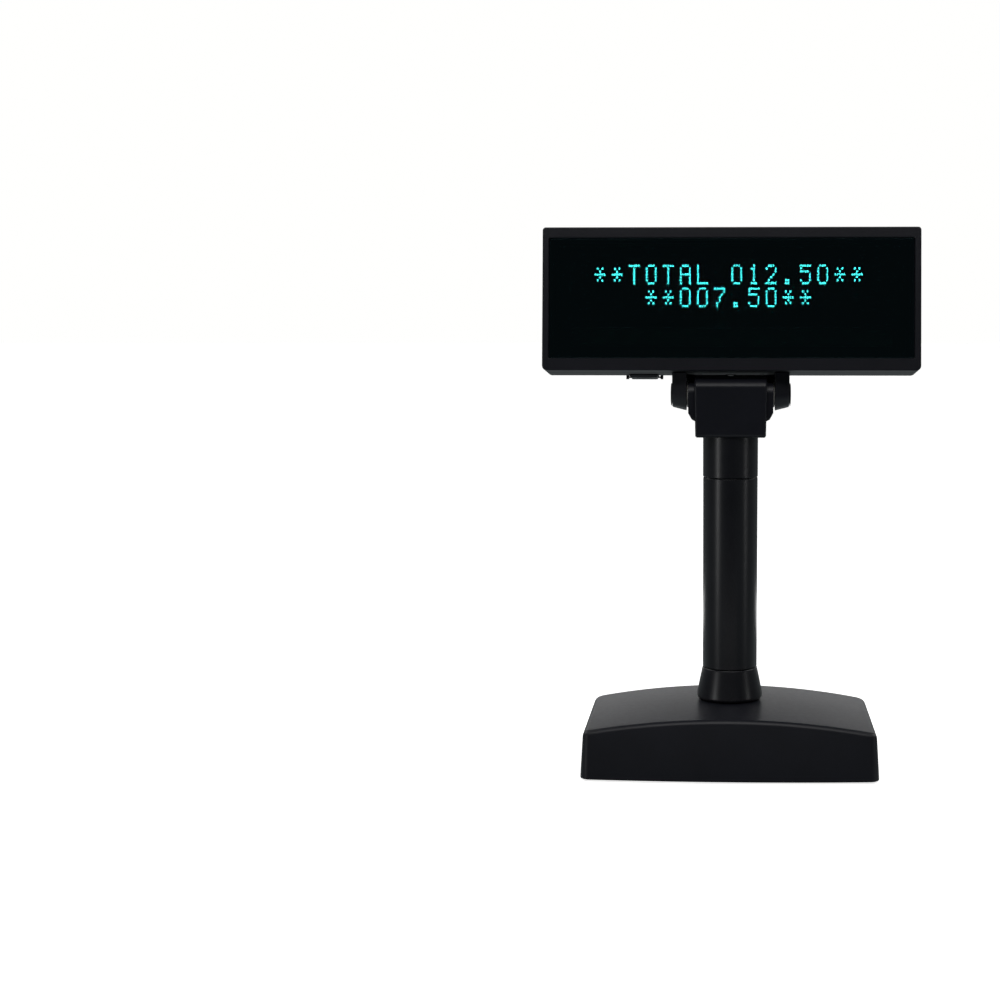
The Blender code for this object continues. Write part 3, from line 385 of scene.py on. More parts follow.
def noise(tree, scale, detail=2.0, roughness=0.5):
    """A noise texture in the object's own coordinates, in features per metre."""
    coordinates = tree.nodes.new("ShaderNodeTexCoord")
    texture = tree.nodes.new("ShaderNodeTexNoise")
    texture.inputs["Scale"].default_value = scale
    texture.inputs["Detail"].default_value = detail
    texture.inputs["Roughness"].default_value = roughness
    tree.links.new(coordinates.outputs["Object"], texture.inputs["Vector"])
    return texture.outputs["Fac"]


def ramp(tree, value, start, end, low, high, kind="SMOOTHSTEP"):
    """Takes a value from low to high as the input goes from start to end, and keeps it level beyond them."""
    node = tree.nodes.new("ShaderNodeMapRange")
    node.interpolation_type = kind
    for key, number in (("From Min", start), ("From Max", end), ("To Min", low), ("To Max", high)):
        node.inputs[key].default_value = number
    tree.links.new(value, node.inputs["Value"])
    return node.outputs["Result"]


def spread(tree, value, low, high):
    """Maps a noise's middle part to the range from low to high."""
    return ramp(tree, value, 0.3, 0.7, low, high, "LINEAR")


def shade_between(tree, value, dark, light):
    node = tree.nodes.new("ShaderNodeMix")
    node.data_type = "RGBA"
    node.inputs["A"].default_value = (*dark, 1.0)
    node.inputs["B"].default_value = (*light, 1.0)
    tree.links.new(value, node.inputs["Factor"])
    return node.outputs["Result"]


def add_bump(tree, shader, height, strength, distance):
    bump = tree.nodes.new("ShaderNodeBump")
    bump.inputs["Strength"].default_value = strength
    bump.inputs["Distance"].default_value = distance
    tree.links.new(height, bump.inputs["Height"])
    tree.links.new(bump.outputs["Normal"], shader.inputs["Normal"])


def surface(name, colour, roughness, metallic=0.0, specular=0.5, grain=2600.0, depth=0.12, vary=0.14):
    """A moulded, rolled or coated surface: slight colour drift, uneven gloss and a fine grain."""
    material, tree, shader = new_material(name)
    drift = noise(tree, 45.0, 3.0)
    dark = [c * (1 - vary) for c in colour]
    light = [min(c * (1 + vary), 1.0) for c in colour]
    shade = shade_between(tree, spread(tree, drift, 0.0, 1.0), dark, light)
    tree.links.new(shade, shader.inputs["Base Color"])
    gloss = noise(tree, 420.0, 4.0, 0.6)
    tree.links.new(spread(tree, gloss, roughness - 0.015, roughness + 0.02), shader.inputs["Roughness"])
    shader.inputs["Metallic"].default_value = metallic
    shader.inputs["Specular IOR Level"].default_value = specular
    add_bump(tree, shader, noise(tree, grain, 2.0, 0.6), depth, 0.00004)
    return material


def window_material():
    """Smoked acrylic: polished, and dark enough to hide everything but the lit dots, with a faint painted
    blue-green glow that stands for the dots' light scattered in it.
    """
    material, tree, shader = new_material("smoked_acrylic")
    shader.inputs["Base Color"].default_value = (0.055, 0.085, 0.090, 1.0)
    shader.inputs["Transmission Weight"].default_value = 1.0
    shader.inputs["IOR"].default_value = 1.45
    shader.inputs["Specular IOR Level"].default_value = 0.35
    # painted glow: a faint, even blue-green emission over the whole window, standing for the lit dots' light
    # scattered in the acrylic
    shader.inputs["Emission Color"].default_value = (0.35, 0.85, 1.0, 1.0)
    shader.inputs["Emission Strength"].default_value = 0.0018
    tree.links.new(spread(tree, noise(tree, 60.0, 4.0), 0.0, 0.015), shader.inputs["Roughness"])
    return material


def glass_material():
    material, tree, shader = new_material("clear_glass")
    shader.inputs["Base Color"].default_value = (0.86, 0.93, 0.92, 1.0)
    shader.inputs["Transmission Weight"].default_value = 1.0
    shader.inputs["IOR"].default_value = 1.30
    tree.links.new(spread(tree, noise(tree, 80.0), 0.0, 0.02), shader.inputs["Roughness"])
    return material


def glow_material():
    """Lit blue-green phosphor."""
    material, tree, shader = new_material("phosphor_glow")
    drift = spread(tree, noise(tree, 900.0), 0.0, 1.0)
    shade = shade_between(tree, drift, (0.05, 0.45, 0.42), (0.08, 0.55, 0.50))
    tree.links.new(shade, shader.inputs["Base Color"])
    shader.inputs["Emission Color"].default_value = (0.12, 1.0, 0.92, 1.0)
    shader.inputs["Emission Strength"].default_value = 21.0
    return material


def board_material():
    """Green solder mask over a grid of fine copper tracks."""
    material, tree, shader = new_material("board_green")
    tracks = tree.nodes.new("ShaderNodeTexWave")
    tracks.inputs["Scale"].default_value = 260.0
    tracks.inputs["Distortion"].default_value = 6.0
    coordinates = tree.nodes.new("ShaderNodeTexCoord")
    tree.links.new(coordinates.outputs["Object"], tracks.inputs["Vector"])
    colour = shade_between(tree, tracks.outputs["Fac"], (0.010, 0.070, 0.030), (0.022, 0.125, 0.050))
    tree.links.new(colour, shader.inputs["Base Color"])
    shader.inputs["Roughness"].default_value = 0.38
    add_bump(tree, shader, tracks.outputs["Fac"], 0.2, 0.00003)
    return material


def make_materials():
    """Every material by name; the plain surfaces come from colour, roughness and what else differs."""
    paint = {
        "smoked_acrylic": window_material(),
        "clear_glass": glass_material(),
        "phosphor_glow": glow_material(),
        "board_green": board_material(),
    }
    black_grain = dict(specular=0.30, grain=2400.0, depth=0.16)
    steel = dict(metallic=1.0, grain=3500.0, depth=0.05)
    plain = {
        "black_abs": ((0.0066, 0.0070, 0.0108), 0.40, black_grain),
        "pole_plastic": ((0.0076, 0.0079, 0.0104), 0.33, dict(specular=0.34, depth=0.06)),
        "anode_glass": ((0.012, 0.014, 0.015), 0.30, dict(depth=0.03)),
        "component_black": ((0.020, 0.020, 0.021), 0.45, {}),
        "capacitor_sleeve": ((0.020, 0.030, 0.110), 0.30, dict(depth=0.03)),
        "steel_ballast": ((0.36, 0.36, 0.37), 0.42, dict(metallic=1.0, grain=900.0)),
        "screw_steel": ((0.11, 0.11, 0.115), 0.32, steel),
        "nylon": ((0.60, 0.58, 0.54), 0.50, dict(depth=0.05, vary=0.04)),
        "rubber": ((0.014, 0.014, 0.014), 0.75, dict(specular=0.25, grain=1800.0, depth=0.3)),
        "cable_jacket": ((0.013, 0.013, 0.014), 0.50, dict(grain=1500.0)),
        "switch_red": ((0.42, 0.030, 0.022), 0.42, dict(vary=0.05)),
        "switch_white": ((0.72, 0.72, 0.70), 0.42, dict(depth=0.04, vary=0.03)),
        "contact_gold": ((0.83, 0.60, 0.26), 0.25, dict(metallic=1.0, depth=0.02, vary=0.05)),
        "phosphor_dark": ((0.050, 0.056, 0.055), 0.70, dict(depth=0.1)),
    }
    for name, (colour, roughness, rest) in plain.items():
        paint[name] = surface(name, colour, roughness, **rest)
    return paint


def paint_cad_nodes(paint):
    """Every CAD node that stays in view gets the fine material of its slot."""
    slots = {part["node"]: part["material_slot"] for part in frame["record"]["subparts"]}
    for name, item in frame["nodes"].items():
        item.data.materials.clear()
        item.data.materials.append(paint[slots[name]])


# ---- base

def arch(x):
    return BASE_HIGH.z - ARCH_SAG * (x / BASE_HALF) ** 2


def base_columns(half, corner):
    """X of each column across the base, from +X to -X: close together round the corners, even between."""
    turns = 8
    middle_count = 48
    flat = half - corner
    bend = [half - corner * (1 - math.sin(math.pi / 2 * (1 - k / turns))) for k in range(turns + 1)]
    middle = [flat - 2 * flat * k / middle_count for k in range(1, middle_count)]
    return [*bend, *middle, *[-x for x in reversed(bend)]]


def base_ring(inset):
    """The base's outline, anticlockwise from above, moved inwards by inset."""
    half = BASE_HALF - inset
    front, rear = BASE_LOW.y + inset, BASE_HIGH.y - inset
    front_corner = max(FRONT_CORNER - inset, 0.8)
    rear_corner = max(REAR_CORNER - inset, 1.2)

    def edge(x, corner):
        past = max(abs(x) - (half - corner), 0.0)
        return corner - math.sqrt(max(corner ** 2 - past ** 2, 0.0))

    ring = []
    for x in reversed(base_columns(half, front_corner)):
        ring.append((x, front + FRONT_BULGE * (x / half) ** 2 + edge(x, front_corner)))
    for x in base_columns(half, rear_corner):
        ring.append((x, rear - edge(x, rear_corner)))
    return ring


def arched_solid(layers):
    """Stacks rings of the base's outline; each layer is (inset, height of a point at x)."""
    shape = bmesh.new()
    rings = []
    for inset, height in layers:
        rings.append([shape.verts.new(Vector((x, y, height(x))) * MM) for x, y in base_ring(inset)])
    add_bands(shape, rings)
    count = len(rings[0])
    for ring, upward in ((rings[0], False), (rings[-1], True)):
        for i in range(count // 2 - 1):
            face = [ring[i], ring[i + 1], ring[count - 2 - i], ring[count - 1 - i]]
            shape.faces.new(face if upward else reversed(face))
    return shape


def below_arch(drop):
    return lambda x: arch(x) - drop


def base_cover_shape():
    """The shell: rounded top edge, softened lower edge, and openings for the collar and the sockets."""
    floor = BASE_LOW.z
    layers = [
        (FOOT_EDGE, lambda x: floor),
        (0.25 * FOOT_EDGE, lambda x: floor + 0.35 * FOOT_EDGE),
        (0.08, lambda x: floor + 1.2 * FOOT_EDGE),
    ]
    for share in (0.25, 0.5, 0.75):
        layers.append((BASE_DRAFT * share, lambda x, s=share: floor + (arch(x) - EDGE_ROUND - floor) * s))
    for angle in quarter(8):
        inset = BASE_DRAFT + EDGE_ROUND * (1 - math.cos(angle))
        layers.append((inset, below_arch(EDGE_ROUND * (1 - math.sin(angle)))))
    outer = arched_solid(layers)
    inner = arched_solid([
        (BASE_WALL, lambda x: floor - 1),
        (BASE_DRAFT + BASE_WALL, below_arch(BASE_WALL + 0.8)),
        (BASE_DRAFT + BASE_WALL + 0.8, below_arch(BASE_WALL)),
    ])
    low, high = local_box("serial_socket", WORLD)
    jack = (JACK_Z, box_middle("power_jack", WORLD)[0])
    rear = BASE_HIGH.y
    port = filleted(face_outline(low, high, GAP), 0.6)
    flare = [(JACK_R, rear - 0.2), (JACK_FLARE_R, rear + 1.7), (JACK_FLARE_R, rear + 3), (JACK_R, rear + 3)]
    return cut(
        outer,
        inner,
        rod(COLLAR_HOLE_R, 20, 50, 64, centre=(0, HINGE.y / MM)),
        prism(port, rear - 6, rear + 2, "Y"),
        rod(JACK_R, rear - 6, rear + 2, 40, "Y", jack),
        turned(flare, 40, "Y", jack),
    )


def foot_shape(node):
    low, high = local_box(node, WORLD)
    radius = (high.x - low.x) / 2
    profile = [
        (radius, high.z),
        (radius, 0.6),
        (radius - 0.15, 0.2),
        (radius - 0.6, 0.0),
        (radius - 1.6, 0.0),
        (radius - 1.9, 0.25),
        (radius - 2.6, 0.25),
        (radius - 2.9, 0.0),
        (0.4, 0.0),
    ]
    return turned(profile, 64, centre=box_middle(node, WORLD)[:2], ring=False)


def contacts_shape():
    """The sprung contacts that slope up through the serial socket's port."""
    high = local_box("serial_socket", WORLD)[1]
    middle = box_middle("serial_socket", WORLD)[0]
    face = high.y
    shapes = []
    for x in spaced(CONTACT_COUNT, CONTACT_PITCH, middle):
        outline = [
            (face - 11.5, high.z - 2.3),
            (face - 11.5, high.z - 2.9),
            (face - 4.0, high.z - 2.9),
            (face - 10.2, high.z - 6.6),
            (face - 9.8, high.z - 7.0),
            (face - 2.6, high.z - 2.7),
            (face - 2.6, high.z - 2.3),
        ]
        shapes.append(prism(outline, x - 0.2, x + 0.2, "X"))
    return merged(shapes)


def merged(shapes):
    """Puts separate closed shapes in one bmesh."""
    whole = bmesh.new()
    for shape in shapes:
        mesh = bpy.data.meshes.new("part")
        shape.to_mesh(mesh)
        shape.free()
        whole.from_mesh(mesh)
        bpy.data.meshes.remove(mesh)
    return whole


def make_base(paint):
    piece("base_shell", base_cover_shape(), paint, WORLD, "base", "black_abs", ["base_cover"])
    for depth in ("front", "rear"):
        for side in ("left", "right"):
            node = f"foot_{depth}_{side}"
            piece(f"rubber_{node}", foot_shape(node), paint, WORLD, "base", "rubber", [node])
    piece("serial_contacts", contacts_shape(), paint, WORLD, "base", "screw_steel", look="contact_gold")


# ---- screws

def screw_shape(low, high, axis, outward):
    """A pan-head screw with a cross recess, to fit a CAD screw's box; outward is +1 or -1 along the axis."""
    order = {"Y": (2, 0, 1), "Z": (0, 1, 2)}[axis]
    size = high - low
    centre = ((low[order[0]] + high[order[0]]) / 2, (low[order[1]] + high[order[1]]) / 2)
    radius = size[order[0]] / 2
    top = high[order[2]] if outward > 0 else low[order[2]]
    tip = low[order[2]] if outward > 0 else high[order[2]]
    thick = 0.62 * radius

    def at(drop):
        return top - outward * drop

    shank = 0.46 * radius
    profile = [(0.25 * radius, at(0.0)), (0.62 * radius, at(0.10 * thick)), (0.88 * radius, at(0.38 * thick))]
    profile += [(radius, at(0.72 * thick)), (radius, at(thick)), (shank, at(thick))]
    profile += [(shank, tip + outward * 0.8), (0.12 * radius, tip)]
    if outward < 0:
        profile.reverse()
    body = turned(profile, 48, axis, centre, ring=False)
    slot_half, slot_wide, depth = 0.52 * radius, 0.12 * radius, 0.8 * thick
    near, far = sorted((at(depth), at(-0.5)))
    arms = []
    for a, b in ((slot_half, slot_wide), (slot_wide, slot_half)):
        arm = rectangle(centre[0] - a, centre[0] + a, centre[1] - b, centre[1] + b)
        arms.append(prism(arm, near, far, axis))
    return cut(body, *arms)


def make_screws(paint):
    jobs = [(f"base_screw_{k}", WORLD, "Z", -1, "base") for k in range(1, 5)]
    jobs += [(f"cover_screw_{k}", HEAD, "Y", 1, "head") for k in range(1, 5)]
    jobs += [(f"neck_screw_{k}", POLE, "Y", 1, "neck") for k in (1, 2)]
    jobs += [(f"{tube}_lock_screw", POLE, "Y", 1, "base") for tube in ("extension", "upper")]
    for node, place, axis, outward, body in jobs:
        shape = screw_shape(*local_box(node, place), axis, outward)
        piece(f"{node}_cross", shape, paint, place, body, "screw_steel", [node])


# ---- pole

def collar_shape():
    """The straight-sided flare with a rounded lip at the top and a rolled-in foot."""
    radius = COLLAR_HIGH.x
    lip = POLE_R + 0.2
    top = COLLAR_HIGH.z
    profile = [(SPIGOT_R + GAP, top)]
    bend = top - LIP_ROUND
    for angle in quarter(4):
        profile.append((lip - LIP_ROUND + LIP_ROUND * math.sin(angle), bend + LIP_ROUND * math.cos(angle)))
    foot = COLLAR_FOOT + 2.0
    for share in (0.2, 0.4, 0.6, 0.8, 1.0):
        swell = 0.075 * math.sin(math.pi * share)
        profile.append((lip + (radius - lip) * share + swell, bend + (foot - bend) * share))
    profile += [
        (radius, COLLAR_FOOT + 1.3),
        (radius - 0.25, COLLAR_FOOT + 0.7),
        (radius - 0.8, COLLAR_FOOT + 0.2),
        (radius - 1.3, COLLAR_FOOT),
        (COLLAR_SLEEVE_R, COLLAR_FOOT),
        (COLLAR_SLEEVE_R, COLLAR_LOW.z),
        (SPIGOT_R + GAP, COLLAR_LOW.z),
    ]
    return turned(profile, 128)


def tube_shape():
    """The extension tube: a rounded-edge outer wall over a narrower spigot, with a wider bore at the top."""
    foot, top = COLLAR_HIGH.z + GAP, TUBE_HIGH.z
    shelf = top - 36
    return turned([
        (POLE_R - TUBE_EDGE, top),
        (POLE_R, top - TUBE_EDGE),
        (POLE_R, foot + TUBE_EDGE),
        (POLE_R - TUBE_EDGE, foot),
        (SPIGOT_R, foot),
        (SPIGOT_R, TUBE_LOW.z),
        (SPIGOT_BORE_R, TUBE_LOW.z),
        (SPIGOT_BORE_R, shelf),
        (SPIGOT_R + GAP, shelf),
        (SPIGOT_R + GAP, top),
    ], 128)


def upper_tube_shape():
    """The top section, whose journal, grooved for the retaining ring, carries the swivelling neck."""
    foot = TUBE_HIGH.z + GAP
    shoulder = NECK_FLOOR_Z - 1.6
    radius = UPPER_HIGH.x
    groove_high, groove_low = UPPER_HIGH.z - 2.5, UPPER_HIGH.z - 4.2
    groove_r = JOURNAL_R - 1.2
    return turned([
        (JOURNAL_R, UPPER_HIGH.z),
        (JOURNAL_R, groove_high),
        (groove_r, groove_high),
        (groove_r, groove_low),
        (JOURNAL_R, groove_low),
        (JOURNAL_R, shoulder),
        (radius - TUBE_EDGE, shoulder),
        (radius, shoulder - TUBE_EDGE),
        (radius, foot + TUBE_EDGE),
        (radius - TUBE_EDGE, foot),
        (SPIGOT_R, foot),
        (SPIGOT_R, UPPER_LOW.z),
        (SPIGOT_BORE_R, UPPER_LOW.z),
        (SPIGOT_BORE_R, UPPER_HIGH.z),
    ], 128)


def make_pole(paint):
    """The three pole sections, with a hole or pocket at the rear for each lock screw."""
    low_lock = (COLLAR_HIGH.z - LOCK_DROP, 0)
    high_lock = (TUBE_HIGH.z + GAP / 2 - LOCK_DROP, 0)
    pocket = rod(2.5, POLE_R - 1.4, POLE_R + 3, 32, "Y", high_lock)
    inner_hole = rod(SCREW_HOLE_R, 8, 18, 24, "Y", high_lock)
    sections = (
        ("collar_flare", collar_shape(), [rod(2.7, 11, 25, 32, "Y", low_lock)], "pole_collar"),
        ("extension_section", tube_shape(), [pocket, inner_hole, rod(SCREW_HOLE_R, 8, 14, 24, "Y", low_lock)],
         "extension_tube"),
        ("upper_section", upper_tube_shape(), [rod(SCREW_HOLE_R, 8, 14, 24, "Y", high_lock)], "upper_tube"),
    )
    for name, shape, holes, node in sections:
        piece(name, cut(shape, *holes), paint, POLE, "base", "pole_plastic", [node])


# ---- neck

def neck_outline():
    """The neck block from the side, as (y, z) from the hinge, front low corner first."""
    bottom = NECK_LOW.z - HINGE_Z
    front, rear = -NECK_HALF_DEPTH, NECK_HALF_DEPTH
    return [
        (front + 0.6, bottom),
        (rear - 0.6, bottom),
        (rear, -4.0),
        (14.2, 0.8),
        (10.0, 5.2),
        (5.0, 8.4),
        (0.0, 9.8),
        (-8.0, 9.6),
        (-14.5, 8.2),
        (front, 5.8),
    ]


def neck_block():
    """The tapered block with rounded edges."""
    points = [(y, z + HINGE_Z) for y, z in filleted(neck_outline(), 2.2, 4)]
    side = prism(points, -30, 30, "X")
    top, low = NECK_HALF_TOP, NECK_HALF_BOTTOM
    bottom = NECK_LOW.z
    corners = [(-low, bottom), (low, bottom), (top, HINGE_Z + 12), (-top, HINGE_Z + 12)]
    outline = [(z, x) for x, z in reversed(corners)]
    return soften(flatten(keep(side, prism(outline, -25, 25, "Y"))), 1.1, 4, 40)


def cheek(side):
    """The thick plate on one side of the block, which carries the axle and slopes in towards its foot."""
    section = [
        (side * (NECK_HALF_TOP - 3), CHEEK_FOOT),
        (side * (CHEEK_HALF - 1.9), HINGE_Z - 13.0),
        (side * CHEEK_HALF, HINGE_Z - 9.5),
        (side * CHEEK_HALF, CHEEK_TOP),
        (side * (NECK_HALF_TOP - 3), CHEEK_TOP),
    ]
    if side < 0:
        section.reverse()
    outline = [(z, x) for x, z in reversed(section)]
    plate = prism(outline, CHEEK_FRONT, CHEEK_REAR, "Y")
    corner = rounded_rectangle(CHEEK_FRONT, CHEEK_REAR, CHEEK_FOOT, CHEEK_TOP, 4.0, 5.5, 8)
    return soften(flatten(keep(plate, prism(corner, -30, 30, "X"))), 0.5, 3, 30)


def neck_cavity():
    front, rear = -NECK_HALF_DEPTH + NECK_WALL, NECK_HALF_DEPTH - NECK_WALL
    low = NECK_FLOOR_Z + NECK_FLOOR_THICK
    points = [
        (front, low),
        (rear, low),
        (rear, HINGE_Z - 5.5),
        (11.6, HINGE_Z - 0.8),
        (8.0, HINGE_Z + 3.2),
        (0.0, HINGE_Z + 7.2),
        (-13.0, HINGE_Z + 6.2),
        (front, HINGE_Z + 4.6),
    ]
    return prism(points, -NECK_HALF_BOTTOM + NECK_WALL, NECK_HALF_BOTTOM - NECK_WALL, "X")


def neck_shells():
    """The hollow neck with its bores, split across the pole axis into a front and a rear half."""
    body = cut(
        join(neck_block(), cheek(-1), cheek(1)),
        neck_cavity(),
        rod(POLE_R + 0.5, NECK_LOW.z - 5, NECK_FLOOR_Z, 96),
        rod(JOURNAL_R + GAP, NECK_FLOOR_Z - 1, NECK_FLOOR_Z + NECK_FLOOR_THICK + 1, 64),
        prism(rounded_rectangle(-4, 4, 2.5, 9.0, 1.5, 1.5, 5), HINGE_Z, HINGE_Z + 14),
        rod(AXLE_R + GAP, -30, 30, 40, "X", (0, HINGE_Z)),
    )
    middles = [box_middle(f"neck_screw_{k}", POLE) for k in (1, 2)]
    places = [(z, x) for x, _, z in middles]
    posts = [rod(3.0, -NECK_HALF_DEPTH + 1, NECK_HALF_DEPTH - 1, 32, "Y", place) for place in places]
    drills = [rod(SCREW_HOLE_R, -8, 30, 24, "Y", place) for place in places]
    drills += [rod(2.6, NECK_HALF_DEPTH - NECK_WALL, 30, 32, "Y", place) for place in places]
    whole = temporary(cut(join(body, *posts), *drills))
    halves = []
    for low, high in ((-40, -GAP / 2), (GAP / 2, 40)):
        copy = bmesh.new()
        copy.from_mesh(whole.data)
        halves.append(keep(copy, block(-40, 40, low, high, 150, 250)))
    discard(whole)
    return halves


def make_neck(paint):
    front, rear = neck_shells()
    piece("neck_front", front, paint, POLE, "neck", "black_abs", ["neck_front_shell"])
    piece("neck_rear", rear, paint, POLE, "neck", "black_abs", ["neck_rear_shell"])


# ---- head

def head_outline(inset=0.0, side_inset=None):
    """The head from the front, as (z, x) pairs, moved inwards; the left and right sides may move more."""
    side_inset = inset if side_inset is None else side_inset
    points = rounded_rectangle(
        HEAD_LOW.x + side_inset,
        HEAD_HIGH.x - side_inset,
        HEAD_LOW.z + inset,
        HEAD_HIGH.z - inset,
        max(BOTTOM_CORNER - inset, 0.6),
        max(TOP_CORNER - inset, 0.6),
    )
    return [(z, x) for x, z in reversed(points)]


def bezel_shape():
    """The front frame with a rounded outer edge, a softened window opening and a ledge behind the window."""
    front, rear = HEAD_LOW.y, HEAD_HIGH.y
    layers = []
    for angle in quarter(6):
        inset = BEZEL_ROUND * (1 - math.sin(angle))
        layers.append((head_outline(inset, 2 * inset), front + BEZEL_ROUND * (1 - math.cos(angle))))
    layers.append((head_outline(0.0), rear - 0.25))
    layers.append((head_outline(0.25), rear))

    def opening(grow):
        return filleted(face_outline(WINDOW_LOW, WINDOW_HIGH, grow), 0.8, 4)

    seat = stack([
        (opening(0.75), front - 0.5),
        (opening(0.75), front),
        (opening(GAP), front + 0.45),
        (opening(GAP), WINDOW_HIGH.y + GAP),
    ], "Y")
    through = prism(opening(-2.3), front - 2, front + 8, "Y")
    room = prism(head_outline(HEAD_WALL), front + 4.7, rear + 5, "Y")
    shell = cut(stack(layers, "Y"), seat, through, room)
    posts = []
    pilots = []
    for x, z in cover_screw_places():
        posts.append(rod(COVER_POST_R, front + 3.5, rear - 0.1, 32, "Y", (z, x)))
        pilots.append(rod(SCREW_HOLE_R, front + 5.5, rear + 5, 24, "Y", (z, x)))
    return cut(join(shell, *posts), *pilots)


def cover_screw_places():
    middles = [box_middle(f"cover_screw_{k}", HEAD) for k in range(1, 5)]
    return [(x, z) for x, _, z in middles]


def rear_cover_tray(start):
    """The open tray, with a small reveal at the seam and a sloped rear edge."""
    rear = HEAD_REAR
    section = [(start, 0.0), (rear - REAR_SLOPE, 0.0), (rear - 1.2, 2.0), (rear, 3.4)]
    bend = filleted(section, 1.6, 4, closed=False)
    layers = [(head_outline(0.25), start)]
    layers += [(head_outline(inset), y) for y, inset in [(start + 0.25, 0.0), *bend[1:-1]]]
    layers += [(head_outline(3.1), rear - 0.25), (head_outline(3.6), rear)]
    room = stack([
        (head_outline(HEAD_WALL), start - 2),
        (head_outline(HEAD_WALL), rear - REAR_SLOPE),
        (head_outline(HEAD_WALL + 2.2), rear - HEAD_WALL),
    ], "Y")
    return cut(stack(layers, "Y"), room)


def rear_cover_openings():
    """The cable hole, ear slots, vents and switch opening, and the recess of the blank panel."""
    floor, rear = HEAD_LOW.z, HEAD_REAR
    holes = [rod(CABLE_HOLE_R, floor - 2, floor + 5, 32, centre=(0, CABLE_HOLE_Y))]
    for side in (-1, 1):
        inner, outer = sorted((side * (EAR_IN - GAP), side * (EAR_OUT + GAP)))
        holes.append(block(inner, outer, EAR_FRONT - 0.2, EAR_R + GAP, floor - 2, floor + 5))
    for x in spaced(VENT_COUNT, VENT_PITCH):
        slot = rounded_rectangle(x - VENT_HALF_WIDTH, x + VENT_HALF_WIDTH, VENT_LOW, VENT_HIGH, 1.05, 1.05, 6)
        holes.append(prism([(b, a) for a, b in reversed(slot)], rear - 5, rear + 2, "Y"))
    x = box_middle("switch_hatch", HEAD)[0]
    holes.append(block(x - SWITCH_HALF, x + SWITCH_HALF, SWITCH_FRONT, SWITCH_REAR, floor - 2, floor + 5))
    return [*holes, label_recess(rear)]


def rear_cover_shape():
    """The tray behind the bezel, with its lip, openings, screw posts, hatch lugs and the rib below it."""
    start = local_box("rear_cover", HEAD)[0].y
    floor, rear = HEAD_LOW.z, HEAD_REAR
    hatch_low, hatch_high = local_box("switch_hatch", HEAD)
    shell = cut(join(rear_cover_tray(start), inner_lip(start)), *rear_cover_openings())
    posts = []
    drills = []
    for x, z in cover_screw_places():
        posts.append(rod(COVER_POST_R, start + 0.1, rear - 0.6, 32, "Y", (z, x)))
        drills.append(rod(SCREW_HOLE_R, start - 5, rear + 2, 24, "Y", (z, x)))
        drills.append(rod(2.3, rear - 3.0, rear + 2, 32, "Y", (z, x)))
    for side in (-1, 1):
        posts.append(hatch_lug(side, hatch_low, hatch_high))
        centre = (BRACKET_SCREW_X * side, BRACKET_SCREW_Y)
        drills.append(rod(SCREW_HOLE_R, floor - 2, floor + 6, 24, centre=centre))
    drills.append(rod(0.8, hatch_low.x - 3, hatch_high.x + 3, 20, "X", box_middle("hatch_pin", HEAD)[1:]))
    return cut(join(shell, skirt_shape(), *posts), *drills)


def inner_lip(start):
    """The lip inside the seam, which closes the gap between the rear cover and the bezel."""
    outer = stack([
        (head_outline(HEAD_WALL + 0.25), start - 1.6),
        (head_outline(HEAD_WALL + 0.25), start - 0.5),
        (head_outline(HEAD_WALL - 0.3), start + 0.4),
        (head_outline(HEAD_WALL - 0.3), start + 0.9),
    ], "Y")
    return cut(outer, prism(head_outline(HEAD_WALL + 0.95), start - 3, start + 3, "Y"))


def skirt_shape():
    """The rib behind the neck, with a longer tab beside each cheek, which hides the gap over the neck."""
    top = HEAD_LOW.z + 1.1
    outline = [
        (SKIRT_SIDE_Z, -SKIRT_OUTER),
        (top, -SKIRT_OUTER),
        (top, SKIRT_OUTER),
        (SKIRT_SIDE_Z, SKIRT_OUTER),
        (SKIRT_SIDE_Z, SKIRT_INNER),
        (SKIRT_MIDDLE_Z, SKIRT_INNER),
        (SKIRT_MIDDLE_Z, -SKIRT_INNER),
        (SKIRT_SIDE_Z, -SKIRT_INNER),
    ]
    return soften(prism(outline, SKIRT_FRONT, SKIRT_REAR, "Y"), 0.3, 2)


def label_recess(rear):
    """A shallow blank panel moulded into the back, where a rating label would go."""
    low, high = LABEL_MIDDLE_Z - LABEL_HALF_HEIGHT, LABEL_MIDDLE_Z + LABEL_HALF_HEIGHT
    outline = rounded_rectangle(-LABEL_HALF_WIDTH, LABEL_HALF_WIDTH, low, high, 1.5, 1.5, 5)
    return prism([(b, a) for a, b in reversed(outline)], rear - 0.35, rear + 2, "Y")


def hatch_lug(side, hatch_low, hatch_high):
    """A small rounded lug under the head that holds one end of the hatch pin."""
    edge = hatch_high.x + GAP if side > 0 else hatch_low.x - GAP
    low, high = sorted((edge, edge + side * 1.5))
    y = box_middle("hatch_pin", HEAD)[1]
    front, rear = y - 1.4, y + 1.4
    foot, top = HEAD_LOW.z - 1.7, HEAD_LOW.z + 2.6
    outline = filleted(rectangle(front, rear, foot, top), 1.0, 4)
    return prism(outline, low, high, "X")


def ear_outline(radius, top):
    """An ear from the side, as (y, z): a half circle under the axle and a root that widens into the head."""
    points = []
    for k in range(33):
        angle = math.radians(180 + 180 * k / 32)
        points.append((radius * math.cos(angle), radius * math.sin(angle)))
    shoulder = HEAD_LOW.z - 0.4
    return points + [(radius, top), (EAR_FRONT, top), (EAR_FRONT, shoulder), (-radius, shoulder)]


